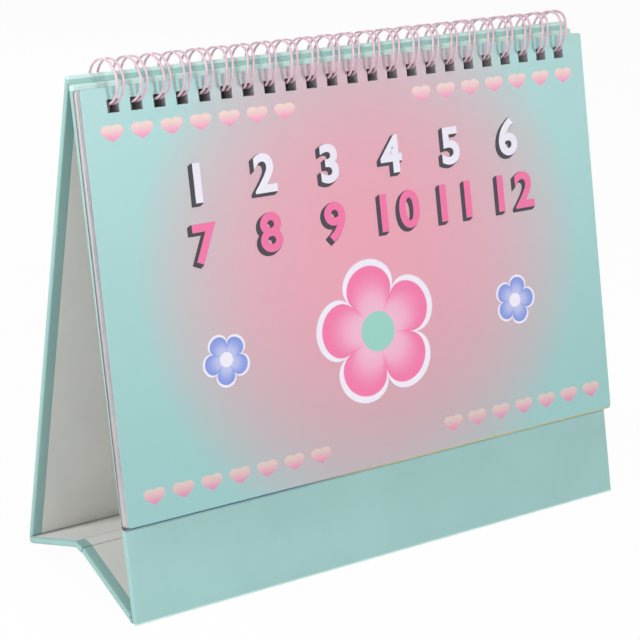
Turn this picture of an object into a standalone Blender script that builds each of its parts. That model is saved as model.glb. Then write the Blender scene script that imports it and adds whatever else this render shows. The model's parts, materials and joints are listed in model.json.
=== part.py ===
"""A wire-bound flip calendar on a folding board easel. Sizes are in metres, angles in degrees, +Z is up.

The easel is one wrapped case of four boards: a front panel, a back panel and a base that is creased
in the middle. The wire binds the leaves to the top edges of the front and back panels.
X runs along the width, -Y is the side that the leaves face, and the case stands on z = 0.
"""

import math

import bmesh
import bpy
import numpy as np
from mathutils import Matrix, Vector

# Case: panels of board between a wrapping paper outside and a lining paper inside
CASE_WIDTH = 0.209
PANEL_THICKNESS = 0.0024
PAPER_THICKNESS = 0.00025
PAPER_GAP = 0.00008
FRONT_LENGTH = 0.1778
LEAN = 12.0
BACK_RISE = 0.0023
APEX_GAP = 0.00035
TURN_IN = 0.0038
REAR_TURN_IN = 0.0008
TOP_TURN_IN = 0.012
LINING_MARGIN = 0.0004

# Base: two panels that rise to a creased ridge
BASE_SLOPE = 19.0
RIDGE_GAP = 0.0034
CREASE_GAP = 0.0003
FOOT_FLAT = 0.0014
FOOT_LIFT = 0.0002
HINGE_PAPER = 0.0002
HINGE_GAP = 0.0001

# Leaves, almost as wide as the case
LEAF_SIDE_MARGIN = 0.0001
LEAF_HEIGHT = 0.142
LEAF_THICKNESS = 0.00025
LEAF_GAP = 0.00008
LEAF_CORNER = 0.001
CORNER_STEPS = 2
MONTHS = 12
LEAF_DROP = 0.0019
LEAF_SEAT = 0.00018
BACKING_EXTRA = 0.0012

# Punched holes, at three to the inch, as many as fit between the ends of a leaf
HOLE_PITCH = 0.0254 / 3
HOLE_END_ROOM = 0.009
HOLE_SIZE = 0.0043
HOLE_MARGIN = 0.004
BACK_HOLE_HEIGHT = 0.005

# Binding wire: pairs of loops on an oval, joined by tips behind the back holes and links above them
WIRE_DIAMETER = 0.001
LOOP_FRONT_REACH = 0.0068
LOOP_REAR_REACH = 0.0029
LOOP_TOP_REACH = 0.004
LOOP_STEPS = 13
LINK_ANGLE = 165.0
TIP_ANGLE = -172.0
LINK_HALF_WIDTH = 0.0015
TIP_HALF_WIDTH = 0.00075
LINK_DEPTH = 0.0012
BEND_ANGLES = (35.0, 90.0, 145.0)
SELF_GAP_REACH = 0.003
LEAF_AXIS_FORWARD = 0.0011

# Colours, as linear red, green and blue
MINT = (0.36, 0.59, 0.56)
LINING = (0.55, 0.55, 0.54)
GREYBOARD = (0.30, 0.28, 0.25)
PINK_WIRE = (0.78, 0.58, 0.65)
COVER_PINK = (0.74, 0.50, 0.52)
LEAF_WHITE = (0.84, 0.83, 0.81)
KRAFT = (0.62, 0.47, 0.26)

LEAF_WIDTH = CASE_WIDTH - 2 * LEAF_SIDE_MARGIN
HOLE_COUNT = int((LEAF_WIDTH - 2 * HOLE_END_ROOM) / HOLE_PITCH) + 1
LEAN_RAD = math.radians(LEAN)
SLOPE_RAD = math.radians(BASE_SLOPE)
CUT_OVERRUN = 0.001


def up_slope(angle):
    """The Y and Z direction that leans back from the vertical by the angle."""
    return Vector((math.sin(angle), math.cos(angle)))


def along_slope(angle):
    """The Y and Z direction that rises to the rear by the angle."""
    return Vector((math.cos(angle), math.sin(angle)))


def meeting_point(point_a, normal_a, point_b, normal_b):
    """Where two lines meet, each given by a point on it and its normal."""
    rows = np.array([tuple(normal_a), tuple(normal_b)])
    return Vector(np.linalg.solve(rows, [point_a.dot(normal_a), point_b.dot(normal_b)]))


def inset(outline, distance):
    """A convex outline, listed counter-clockwise, with each side moved inwards."""
    moved = []
    for start, end in zip(outline, outline[1:] + outline[:1]):
        side = (end - start).normalized()
        inward = Vector((-side.y, side.x))
        moved.append((start + inward * distance, inward))
    return [meeting_point(*moved[i - 1], *moved[i]) for i in range(len(moved))]


def block(y_range, z_range):
    """A rectangular outline in Y and Z, listed counter-clockwise."""
    (y0, y1), (z0, z1) = y_range, z_range
    return [Vector((y0, z0)), Vector((y1, z0)), Vector((y1, z1)), Vector((y0, z1))]


def material(name, colour, roughness, metallic=0.0):
    made = bpy.data.materials.new(name)
    made.use_nodes = True
    shader = made.node_tree.nodes["Principled BSDF"]
    shader.inputs["Base Color"].default_value = (*colour, 1.0)
    shader.inputs["Roughness"].default_value = roughness
    shader.inputs["Metallic"].default_value = metallic
    return made


def place(obj, parent, finish):
    bpy.context.collection.objects.link(obj)
    obj.parent = parent
    if finish is None:
        obj.hide_render = True
        obj.display_type = "WIRE"
    else:
        obj.data.materials.append(finish)
    return obj


def frame(name, point, angle):
    """An empty at a Y and Z point, turned about X, which carries the pieces of one panel."""
    empty = bpy.data.objects.new(name, None)
    empty.location = (0.0, point.x, point.y)
    empty.rotation_euler = (angle, 0.0, 0.0)
    bpy.context.collection.objects.link(empty)
    return empty


def to_local(empty, point):
    """A Y and Z point of the whole object, in the frame of an empty."""
    moved = point - Vector(empty.location.yz)
    return Matrix.Rotation(-empty.rotation_euler.x, 2) @ moved


def add_prism(mesh, outline, half_width):
    """Draws an outline in Y and Z at one side and extrudes it along X."""
    corners = [mesh.verts.new((-half_width, point.x, point.y)) for point in outline]
    face = mesh.faces.new(corners)
    grown = bmesh.ops.extrude_face_region(mesh, geom=[face])["geom"]
    moved = [item for item in grown if isinstance(item, bmesh.types.BMVert)]
    bmesh.ops.translate(mesh, vec=(2 * half_width, 0, 0), verts=moved)


def finish_mesh(mesh, name):
    bmesh.ops.recalc_face_normals(mesh, faces=mesh.faces)
    data = bpy.data.meshes.new(name)
    mesh.to_mesh(data)
    mesh.free()
    return bpy.data.objects.new(name, data)


def prism(name, outline, half_width, parent, finish):
    mesh = bmesh.new()
    add_prism(mesh, outline, half_width)
    return place(finish_mesh(mesh, name), parent, finish)


def cut(obj, cutter):
    modifier = obj.modifiers.new("cut by " + cutter.name, "BOOLEAN")
    modifier.object = cutter
    modifier.operation = "DIFFERENCE"
    modifier.solver = "EXACT"


def punch(name, parent, y_range, z_range):
    """The row of square punches that cuts every hole of one row."""
    mesh = bmesh.new()
    for index in range(HOLE_COUNT):
        before = set(mesh.verts)
        add_prism(mesh, block(y_range, z_range), HOLE_SIZE / 2)
        own = [vert for vert in mesh.verts if vert not in before]
        bmesh.ops.translate(mesh, vec=(hole_place(index), 0, 0), verts=own)
    return place(finish_mesh(mesh, name), parent, None)


def hole_place(index):
    return (index - (HOLE_COUNT - 1) / 2) * HOLE_PITCH


def wrapped_panel(name, empty, outline, lining, window, punches=(), turn_in=TURN_IN):
    """One panel of the case: its board, the paper wrapped round it and the lining let into the wrap."""
    half = CASE_WIDTH / 2
    wrap = prism(name + "_wrap", outline, half, empty, FINISH["wrap"])
    core_inset = PAPER_THICKNESS + PAPER_GAP
    board = prism(name + "_board", inset(outline, core_inset), half - core_inset, empty, FINISH["board"])
    prism(name + "_liner", lining, half - turn_in, empty, FINISH["liner"])
    pocket = prism(
        name + "_pocket", inset(outline, PAPER_THICKNESS), half - PAPER_THICKNESS, empty, None
    )
    opening = prism(name + "_window", window, half - turn_in + PAPER_GAP, empty, None)
    cut(wrap, pocket)
    cut(wrap, opening)
    for cutter in punches:
        cut(wrap, cutter)
        cut(board, cutter)


def rounded_leaf(name, near, top, height, axis_frame, finish):
    """A leaf whose front face is at the given distance before the leaf axis, with round corners."""
    mesh = bmesh.new()
    add_prism(mesh, block((-near, -near + LEAF_THICKNESS), (top - height, top)), LEAF_WIDTH / 2)
    corners = [
        edge
        for edge in mesh.edges
        if abs(edge.verts[0].co.y - edge.verts[1].co.y) > LEAF_THICKNESS / 2
    ]
    bmesh.ops.bevel(
        mesh,
        geom=corners,
        offset=LEAF_CORNER,
        segments=CORNER_STEPS,
        profile=0.5,
        affect="EDGES",
        material=-1,
    )
    return place(finish_mesh(mesh, name), axis_frame, finish)


class Loop:
    """The oval of the binding wire, in the front panel's frame: Y into the stand, Z up the panel."""

    def __init__(self, front, rear, low, high):
        self.centre = Vector(((front + rear) / 2, (low + high) / 2))
        self.depth = (rear - front) / 2
        self.height = (high - low) / 2

    def point(self, angle):
        """A point of the oval. Zero is the front, and a quarter turn is the top."""
        across = -math.cos(angle) * self.depth
        return self.centre + Vector((across, math.sin(angle) * self.height))

    def crossings(self, start, direction):
        """Where a straight line crosses the oval, as distances along the line."""
        scale = Vector((1 / self.depth, 1 / self.height))
        origin = (start - self.centre) * scale
        slope = direction * scale
        a = slope.length_squared
        b = origin.dot(slope)
        root = math.sqrt(b * b - a * (origin.length_squared - 1))
        return (-b - root) / a, (-b + root) / a


def half_width_at(share):
    """Half the space between the two wires of a pair, from the link, 0, to the tip, 1."""
    return LINK_HALF_WIDTH + (TIP_HALF_WIDTH - LINK_HALF_WIDTH) * share


def wire_path(loop):
    """The centre line of the whole wire, as X, Y and Z in the front panel's frame."""
    link = math.radians(LINK_ANGLE)
    tip = math.radians(TIP_ANGLE)
    shares = [step / (LOOP_STEPS - 1) for step in range(LOOP_STEPS)]
    bends = [math.radians(angle) for angle in BEND_ANGLES]
    path = []

    def add(x, angle):
        spot = loop.point(angle)
        path.append(Vector((x, spot.x, spot.y)))

    for index in range(HOLE_COUNT):
        middle = hole_place(index)
        for share in shares:
            add(middle - half_width_at(share), link + (tip - link) * share)
        for bend in bends:
            past = TIP_HALF_WIDTH * math.sin(bend) / loop.depth
            add(middle - TIP_HALF_WIDTH * math.cos(bend), tip - past)
        for share in reversed(shares):
            add(middle + half_width_at(share), link + (tip - link) * share)
        if index == HOLE_COUNT - 1:
            continue
        half_link = HOLE_PITCH / 2 - LINK_HALF_WIDTH
        for bend in bends:
            past = LINK_DEPTH * math.sin(bend) / loop.depth
            add(middle + HOLE_PITCH / 2 - half_link * math.cos(bend), link + past)
    return path


def least_gap(path):
    """The least space between the wire and itself, away from each point's own neighbours on it."""
    points = np.array(path)
    run = np.concatenate([[0], np.cumsum(np.linalg.norm(np.diff(points, axis=0), axis=1))])
    apart = np.linalg.norm(points[:, None] - points[None], axis=2)
    near = np.abs(run[:, None] - run[None]) < SELF_GAP_REACH
    return np.where(near, np.inf, apart).min() - WIRE_DIAMETER


def binding_wire(loop, empty):
    """One unbroken wire, bent back and forth along the row of holes."""
    path = wire_path(loop)
    print(f"binding_wire: least gap to itself {least_gap(path) * 1000:.2f} mm")
    curve = bpy.data.curves.new("binding_wire", "CURVE")
    curve.dimensions = "3D"
    curve.bevel_depth = WIRE_DIAMETER / 2
    curve.bevel_resolution = 1
    curve.use_fill_caps = True
    spline = curve.splines.new("POLY")
    spline.points.add(len(path) - 1)
    for spot, target in zip(spline.points, path):
        spot.co = (*target, 1.0)
    place(bpy.data.objects.new("binding_wire", curve), empty, FINISH["wire"])


def main():
    for obj in list(bpy.data.objects):
        bpy.data.objects.remove(obj)
    FINISH.update(
        wrap=material("wrap paper", MINT, 0.55),
        board=material("greyboard", GREYBOARD, 0.95),
        liner=material("lining paper", LINING, 0.8),
        wire=material("coated wire", PINK_WIRE, 0.35),
        cover=material("cover print", COVER_PINK, 0.4),
        leaf=material("leaf paper", LEAF_WHITE, 0.7),
        kraft=material("kraft card", KRAFT, 0.85),
    )

    # Directions of the panels, and the line of each foot, before the whole is centred on y = 0
    front_up = up_slope(LEAN_RAD)
    front_in = Vector((front_up.y, -front_up.x))
    back_up = up_slope(-LEAN_RAD)
    back_in = Vector((-back_up.y, back_up.x))
    base_up = along_slope(SLOPE_RAD)
    base_down = Vector((base_up.x, -base_up.y))
    base_front_face = Vector((-base_up.y, base_up.x))
    base_rear_face = Vector((base_up.y, base_up.x))
    front_top = front_up * FRONT_LENGTH
    front_top_inner = front_top + front_in * PANEL_THICKNESS
    apex = front_top_inner - back_in * (APEX_GAP / 2)

    # The crease line of each base panel lies on its upper face, a crease's gap from the board
    base_fall = PANEL_THICKNESS * math.cos(SLOPE_RAD)
    foot_end = (PANEL_THICKNESS + CREASE_GAP) / math.cos(SLOPE_RAD + LEAN_RAD)
    flat_start = FOOT_FLAT * math.cos(SLOPE_RAD) - foot_end
    front_crease_z = base_fall - CREASE_GAP * math.sin(SLOPE_RAD) + FOOT_LIFT
    rear_crease_z = base_fall - flat_start * math.sin(SLOPE_RAD)
    level = Vector((0, 1))
    front_crease = meeting_point(
        front_in * (PANEL_THICKNESS + CREASE_GAP), front_in, level * front_crease_z, level
    )
    rear_crease = meeting_point(
        apex - back_in * (APEX_GAP / 2 - CREASE_GAP), back_in, level * rear_crease_z, level
    )
    rear_edge = rear_crease + base_down * foot_end
    shift = Vector((-rear_edge.x / 2, 0))

    front_frame = frame("front_frame", shift, -LEAN_RAD)
    back_frame = frame("back_frame", apex + shift, LEAN_RAD)
    base_front_frame = frame("base_front_frame", front_crease + shift, SLOPE_RAD)
    base_rear_frame = frame("base_rear_frame", rear_crease + shift, -SLOPE_RAD)

    # Stack of leaves, measured outwards from the front panel
    leaf_pitch = LEAF_THICKNESS + LEAF_GAP
    leaf_count = MONTHS + 2
    stack_front = LEAF_SEAT + leaf_count * leaf_pitch
    leaf_top = FRONT_LENGTH - LEAF_DROP
    hole_top = leaf_top - HOLE_MARGIN
    hole_rows = (hole_top - HOLE_SIZE, hole_top)

    # Oval of the wire: its lowest point is level with the middle of the holes
    back_outer = APEX_GAP / 2 + PANEL_THICKNESS
    back_top = to_local(front_frame, apex + shift - back_in * back_outer + back_up * BACK_RISE)
    loop = Loop(
        front=-stack_front - LOOP_FRONT_REACH,
        rear=back_top.x + LOOP_REAR_REACH,
        low=sum(hole_rows) / 2,
        high=back_top.y + LOOP_TOP_REACH,
    )
    leaf_axis = loop.centre - Vector((LEAF_AXIS_FORWARD, 0))
    leaf_axis_world = Matrix.Rotation(-LEAN_RAD, 2) @ leaf_axis + shift
    leaf_frame = frame("leaf_axis", leaf_axis_world, -LEAN_RAD)

    # Front panel, cut level at its foot
    front_punch = punch(
        "front_punch",
        front_frame,
        (-stack_front - CUT_OVERRUN, PANEL_THICKNESS + CUT_OVERRUN),
        hole_rows,
    )
    foot_rise = PANEL_THICKNESS * math.tan(LEAN_RAD)
    front_outline = [
        Vector((0, 0)),
        Vector((PANEL_THICKNESS, foot_rise)),
        Vector((PANEL_THICKNESS, FRONT_LENGTH)),
        Vector((0, FRONT_LENGTH)),
    ]
    lining_face = (PANEL_THICKNESS - PAPER_THICKNESS, PANEL_THICKNESS)
    window_face = (PANEL_THICKNESS - PAPER_THICKNESS - PAPER_GAP, PANEL_THICKNESS + CUT_OVERRUN)
    lining_low = foot_rise + LINING_MARGIN
    lining_high = FRONT_LENGTH - TOP_TURN_IN
    wrapped_panel(
        "front",
        front_frame,
        front_outline,
        block(lining_face, (lining_low, lining_high)),
        block(window_face, (lining_low - PAPER_GAP, lining_high + PAPER_GAP)),
        (front_punch,),
    )

    # Back panel, cut along its foot to lie on the base's rear end
    inner_face = APEX_GAP / 2
    foot_line = rear_crease + base_rear_face * CREASE_GAP

    def back_foot(depth):
        face = apex - back_in * depth
        return to_local(back_frame, meeting_point(face, back_in, foot_line, base_rear_face) + shift)

    inner_foot = back_foot(inner_face)
    outer_foot = back_foot(back_outer)
    back_outline = [
        inner_foot,
        outer_foot,
        Vector((back_outer, BACK_RISE)),
        Vector((inner_face, BACK_RISE)),
    ]
    middle_line = to_local(front_frame, apex + shift - back_in * (inner_face + PANEL_THICKNESS / 2))
    down_back = Matrix.Rotation(2 * LEAN_RAD, 2) @ Vector((0, -1))
    hole_drop = max(loop.crossings(middle_line, down_back))
    back_punch = punch(
        "back_punch",
        back_frame,
        (inner_face - CUT_OVERRUN, back_outer + CUT_OVERRUN),
        (-hole_drop - BACK_HOLE_HEIGHT / 2, -hole_drop + BACK_HOLE_HEIGHT / 2),
    )
    lining_face = (inner_face, inner_face + PAPER_THICKNESS)
    window_face = (inner_face - CUT_OVERRUN, inner_face + PAPER_THICKNESS + PAPER_GAP)
    lining_low = inner_foot.y + LINING_MARGIN
    lining_high = BACK_RISE - TOP_TURN_IN
    wrapped_panel(
        "back",
        back_frame,
        back_outline,
        block(lining_face, (lining_low, lining_high)),
        block(window_face, (lining_low - PAPER_GAP, lining_high + PAPER_GAP)),
        (back_punch,),
    )

    # Base panels: each ends half the ridge's gap short of the middle, measured on its underside
    ridge = (front_crease.x + rear_crease.x) / 2
    reach = ridge - RIDGE_GAP / 2 - front_crease.x - PANEL_THICKNESS * math.sin(SLOPE_RAD)
    base_length = reach / math.cos(SLOPE_RAD)
    lining_face = (-PAPER_THICKNESS, 0)
    window_face = (-PAPER_THICKNESS - PAPER_GAP, CUT_OVERRUN)
    front_outline = block((CREASE_GAP, base_length), (-PANEL_THICKNESS, 0))
    lining_run = (CREASE_GAP + LINING_MARGIN, base_length - LINING_MARGIN)
    window_run = (lining_run[0] - PAPER_GAP, lining_run[1] + PAPER_GAP)
    wrapped_panel(
        "base_front",
        base_front_frame,
        front_outline,
        block(lining_run, lining_face),
        block(window_run, window_face),
    )
    rear_outline = [
        Vector((-base_length, -PANEL_THICKNESS)),
        Vector((-flat_start, -PANEL_THICKNESS)),
        Vector((foot_end, -PANEL_THICKNESS + FOOT_FLAT * math.sin(SLOPE_RAD))),
        Vector((foot_end, 0)),
        Vector((-base_length, 0)),
    ]
    lining_run = (-base_length + LINING_MARGIN, -LINING_MARGIN)
    window_run = (lining_run[0] - PAPER_GAP, lining_run[1] + PAPER_GAP)
    wrapped_panel(
        "base_rear",
        base_rear_frame,
        rear_outline,
        block(lining_run, lining_face),
        block(window_run, window_face),
        turn_in=REAR_TURN_IN,
    )

    # Creases of the case: the paper that carries each fold
    def hinge(name, outline, empty):
        local = [to_local(empty, point + shift) for point in outline]
        prism(name, local, CASE_WIDTH / 2 - HINGE_GAP, empty, FINISH["wrap"])

    back_inner_top = apex - back_in * inner_face + back_up * BACK_RISE

    def corner(gap):
        return meeting_point(
            front_top + front_up * gap, front_up, back_inner_top + back_in * gap, back_in
        )

    outer_gap = HINGE_GAP + HINGE_PAPER
    hinge(
        "top_hinge",
        [
            front_top + front_in * HINGE_GAP + front_up * HINGE_GAP,
            corner(HINGE_GAP),
            back_inner_top - back_up * HINGE_GAP + back_in * HINGE_GAP,
            back_inner_top - back_up * HINGE_GAP + back_in * outer_gap,
            corner(outer_gap),
            front_top + front_in * HINGE_GAP + front_up * outer_gap,
        ],
        front_frame,
    )
    foot_inner = PANEL_THICKNESS / math.cos(LEAN_RAD)
    base_toe = front_crease + base_up * CREASE_GAP - base_front_face * PANEL_THICKNESS
    hinge(
        "front_foot_hinge",
        block((foot_inner + CREASE_GAP, base_toe.x - CREASE_GAP), (HINGE_GAP, outer_gap)),
        front_frame,
    )
    hinge_low = rear_crease + base_rear_face * (CREASE_GAP - HINGE_PAPER) / 2
    hinge_run = base_down * (foot_end - HINGE_GAP)
    hinge(
        "rear_foot_hinge",
        [
            hinge_low,
            hinge_low + hinge_run,
            hinge_low + hinge_run + base_rear_face * HINGE_PAPER,
            hinge_low + base_rear_face * HINGE_PAPER,
        ],
        back_frame,
    )
    front_ridge = front_crease + base_up * base_length
    rear_ridge = rear_crease - base_down * base_length
    ridge_outline = [
        front_ridge - base_front_face * PANEL_THICKNESS,
        rear_ridge - base_rear_face * PANEL_THICKNESS,
        rear_ridge,
        front_ridge,
    ]
    hinge("base_ridge_hinge", inset(ridge_outline, CREASE_GAP), base_front_frame)

    # Leaves, from the cover at the front to the backing card against the panel
    months = [f"month_sheet_{month:02d}" for month in range(1, MONTHS + 1)]
    names = ["cover_sheet", *months, "backing_sheet"]
    finishes = [FINISH["cover"]] + [FINISH["leaf"]] * MONTHS + [FINISH["kraft"]]
    for index, (name, finish) in enumerate(zip(names, finishes)):
        near = stack_front - index * leaf_pitch + leaf_axis.x
        height = LEAF_HEIGHT + (BACKING_EXTRA if name == "backing_sheet" else 0)
        leaf = rounded_leaf(name, near, leaf_top - leaf_axis.y, height, leaf_frame, finish)
        cut(leaf, front_punch)

    binding_wire(loop, front_frame)


FINISH = {}

main()
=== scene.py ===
"""Looks of the wire-bound flip calendar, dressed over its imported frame. Sizes are in metres, +Z is up.

The case keeps its packed boards, its linings and its rear crease. The wraps, the other creases, the wire
and the leaves are modelled here again, and every finish is made of shader nodes.
"""

import calendar
import json
import logging
import math
import random
from dataclasses import dataclass
from enum import Enum

import bmesh
import bpy
from mathutils import Matrix, Vector


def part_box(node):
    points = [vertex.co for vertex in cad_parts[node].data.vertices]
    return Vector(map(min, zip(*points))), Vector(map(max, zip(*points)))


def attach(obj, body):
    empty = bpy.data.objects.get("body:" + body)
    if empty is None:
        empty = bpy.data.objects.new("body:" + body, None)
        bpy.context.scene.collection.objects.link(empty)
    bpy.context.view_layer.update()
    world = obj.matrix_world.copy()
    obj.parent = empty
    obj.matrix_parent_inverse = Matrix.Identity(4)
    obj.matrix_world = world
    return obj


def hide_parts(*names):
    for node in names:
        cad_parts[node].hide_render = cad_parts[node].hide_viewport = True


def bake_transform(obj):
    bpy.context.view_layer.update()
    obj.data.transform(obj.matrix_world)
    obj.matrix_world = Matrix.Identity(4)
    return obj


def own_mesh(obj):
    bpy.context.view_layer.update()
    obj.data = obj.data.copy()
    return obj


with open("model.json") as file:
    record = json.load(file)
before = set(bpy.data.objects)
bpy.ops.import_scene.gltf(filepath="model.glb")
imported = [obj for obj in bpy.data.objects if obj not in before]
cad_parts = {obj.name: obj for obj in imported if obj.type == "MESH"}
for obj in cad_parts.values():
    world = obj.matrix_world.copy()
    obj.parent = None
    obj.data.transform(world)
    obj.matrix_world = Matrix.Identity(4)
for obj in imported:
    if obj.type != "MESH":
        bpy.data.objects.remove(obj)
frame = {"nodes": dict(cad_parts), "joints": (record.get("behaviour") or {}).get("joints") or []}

LOG = logging.getLogger("calendar")
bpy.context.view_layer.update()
JOINTS = {joint["name"]: Vector(joint["pos_m"]) for joint in frame["joints"]}

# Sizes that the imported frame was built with
LEAN = math.radians(12.0)
SLOPE = math.radians(19.0)
PANEL_THICKNESS = 0.0024
PAPER = 0.00025
PAPER_GAP = 0.00008
APEX_GAP = 0.00035
BACK_RISE = 0.0023
RIDGE_GAP = 0.0034
CREASE_GAP = 0.0003
FOOT_FLAT = 0.0014
TURN_IN = 0.0038
REAR_TURN_IN = 0.0008
TOP_TURN_IN = 0.012
LINING_MARGIN = 0.0004
LEAF_THICKNESS = 0.00025
LEAF_PITCH = 0.00033
LEAF_SEAT = 0.00018
LEAF_DROP = 0.0019
LEAF_HEIGHT = 0.142
MONTHS = 12
HOLE_COUNT = 23
HOLE_PITCH = 0.0254 / 3
HOLE_SIZE = 0.0043
HOLE_MARGIN = 0.004
BACK_HOLE_HEIGHT = 0.005
OVERRUN = 0.001

# The least share of a face's normal in the direction that it mostly faces
MOSTLY = 0.5

HALF_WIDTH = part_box("front_wrap")[1].x
FRONT_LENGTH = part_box("front_wrap")[1].z / math.cos(LEAN)
STACK_FRONT = LEAF_SEAT + (MONTHS + 2) * LEAF_PITCH
LEAF_TOP = FRONT_LENGTH - LEAF_DROP
HOLE_TOP = LEAF_TOP - HOLE_MARGIN
HOLE_ROWS = (HOLE_TOP - HOLE_SIZE, HOLE_TOP)

Colour = tuple[float, float, float]
Place = tuple[float, float, float]
Outline = list[Vector]
Span = tuple[float, float]
Socket = bpy.types.NodeSocket
Source = float | Socket
Node = bpy.types.Node
Outputs = bpy.types.NodeOutputs
Material = bpy.types.Material
Piece = bpy.types.Object
Draft = bmesh.types.BMesh


def srgb(red: int, green: int, blue: int) -> Colour:
    """Turns a screen colour into linear light.

    Args:
        red: Red from 0 to 255.
        green: Green from 0 to 255.
        blue: Blue from 0 to 255.

    Returns:
        The colour as linear red, green and blue.
    """

    def linear(level: int) -> float:
        """One channel, from its screen level to light."""
        share = level / 255
        return share / 12.92 if share <= 0.04045 else ((share + 0.055) / 1.055) ** 2.4

    return (linear(red), linear(green), linear(blue))


@dataclass(frozen=True)
class Tilt:
    """A frame that stands at a Y and Z point and is turned about X.

    Attributes:
        origin: Where the frame stands, as a point of the whole object.
        angle: Its turn about X, in radians.
    """

    origin: Vector
    angle: float

    @property
    def matrix(self) -> Matrix:
        """The frame's place in the whole object."""
        return Matrix.Translation(self.origin) @ Matrix.Rotation(self.angle, 4, "X")

    def point(self, y: float, z: float, x: float = 0.0) -> Vector:
        """A point of this frame, as a point of the whole object."""
        return self.matrix @ Vector((x, y, z))

    def local(self, point: Vector) -> Vector:
        """A point of the whole object, as Y and Z in this frame."""
        return (self.matrix.inverted() @ point).yz


FRONT = Tilt(Vector((0.0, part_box("front_wrap")[0].y, 0.0)), -LEAN)
BACK = Tilt(JOINTS["stand_fold"], LEAN)
BASE_FRONT = Tilt(JOINTS["base_front_fold"], SLOPE)
BASE_REAR = Tilt(JOINTS["base_rear_fold"], -SLOPE)
BACK_INNER = APEX_GAP / 2
BACK_OUTER = BACK_INNER + PANEL_THICKNESS
BASE_LENGTH = (
    (JOINTS["base_rear_fold"].y - JOINTS["base_front_fold"].y) / 2
    - RIDGE_GAP / 2
    - PANEL_THICKNESS * math.sin(SLOPE)
) / math.cos(SLOPE)
FOOT_END = (PANEL_THICKNESS + CREASE_GAP) / math.cos(SLOPE + LEAN)


def block(y_span: Span, z_span: Span) -> Outline:
    """A rectangle in Y and Z, listed counter-clockwise."""
    (y0, y1), (z0, z1) = y_span, z_span
    return [Vector((y0, z0)), Vector((y1, z0)), Vector((y1, z1)), Vector((y0, z1))]


def meeting(point_a: Vector, normal_a: Vector, point_b: Vector, normal_b: Vector) -> Vector:
    """Finds where two lines in Y and Z meet.

    Args:
        point_a: A point on the first line.
        normal_a: The first line's normal.
        point_b: A point on the second line.
        normal_b: The second line's normal.

    Returns:
        The point on both lines.
    """
    rows = Matrix((normal_a, normal_b))
    return rows.inverted() @ Vector((point_a.dot(normal_a), point_b.dot(normal_b)))


def inset(outline: Outline, distance: float) -> Outline:
    """Moves every side of a convex outline inwards.

    Args:
        outline: Corners in Y and Z, listed counter-clockwise.
        distance: How far each side moves.

    Returns:
        The corners of the smaller outline.
    """
    moved = []
    for start, end in zip(outline, outline[1:] + outline[:1]):
        side = (end - start).normalized()
        inward = Vector((-side.y, side.x))
        moved.append((start + inward * distance, inward))
    return [meeting(*moved[i - 1], *moved[i]) for i in range(len(moved))]


def draw_prism(mesh: Draft, outline: Outline, x_span: Span) -> list[bmesh.types.BMVert]:
    """Draws an outline and extrudes it along X.

    Args:
        mesh: The mesh that takes the new shape.
        outline: Corners in Y and Z.
        x_span: Where the prism starts and ends on X.

    Returns:
        The new vertices.
    """
    start = [mesh.verts.new((x_span[0], corner.x, corner.y)) for corner in outline]
    face = mesh.faces.new(start)
    return start + push_faces(mesh, [face], Vector((x_span[1] - x_span[0], 0, 0)))


def push_faces(mesh: Draft, faces: list[bmesh.types.BMFace], step: Vector) -> list[bmesh.types.BMVert]:
    """Extrudes faces.

    Args:
        mesh: The mesh that they belong to.
        faces: The faces.
        step: How far their copies are moved.

    Returns:
        The vertices of the copies.
    """
    grown = bmesh.ops.extrude_face_region(mesh, geom=faces)["geom"]
    moved = [item for item in grown if isinstance(item, bmesh.types.BMVert)]
    bmesh.ops.translate(mesh, vec=step, verts=moved)
    return moved


def round_edges(mesh: Draft, edges: list[bmesh.types.BMEdge], radius: float, steps: int) -> None:
    """Rounds edges.

    Args:
        mesh: The mesh that they belong to.
        edges: The edges.
        radius: Their radius.
        steps: How many faces go round an edge.
    """
    bmesh.ops.bevel(
        mesh, geom=edges, offset=radius, segments=steps, profile=0.5, affect="EDGES", material=-1
    )


def curve_mesh(curve: bpy.types.Curve) -> bpy.types.Mesh:
    """Turns a curve or a text into a mesh.

    Args:
        curve: The curve.

    Returns:
        The mesh.
    """
    draft = bpy.data.objects.new("draft", curve)
    bpy.context.scene.collection.objects.link(draft)
    graph = bpy.context.evaluated_depsgraph_get()
    data = bpy.data.meshes.new_from_object(draft.evaluated_get(graph))
    bpy.data.objects.remove(draft)
    return data


def make_object(name: str, mesh: Draft, finishes: list[Material], tilt: Tilt | None = None) -> Piece:
    """Turns a mesh into an object whose place is in its vertices.

    Args:
        name: The piece's name.
        mesh: The mesh, which is freed.
        finishes: Its materials, in slot order.
        tilt: The frame that the mesh was drawn in, or None where that is the whole object's.

    Returns:
        The linked object.
    """
    if tilt is not None:
        bmesh.ops.transform(mesh, matrix=tilt.matrix, verts=mesh.verts)
    bmesh.ops.recalc_face_normals(mesh, faces=mesh.faces)
    data = bpy.data.meshes.new(name)
    mesh.to_mesh(data)
    mesh.free()
    piece = bpy.data.objects.new(name, data)
    for finish in finishes:
        data.materials.append(finish)
    bpy.context.scene.collection.objects.link(piece)
    return piece


def make_cutter(outline: Outline, spans: list[Span], tilt: Tilt) -> Piece:
    """Makes a cutter of one or more prisms with the same outline.

    Args:
        outline: Corners in Y and Z.
        spans: Where each prism starts and ends on X.
        tilt: The frame that the outline is drawn in.

    Returns:
        The cutter, which discard removes.
    """
    mesh = bmesh.new()
    for span in spans:
        draw_prism(mesh, outline, span)
    return make_object("cutter", mesh, [], tilt)


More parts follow.
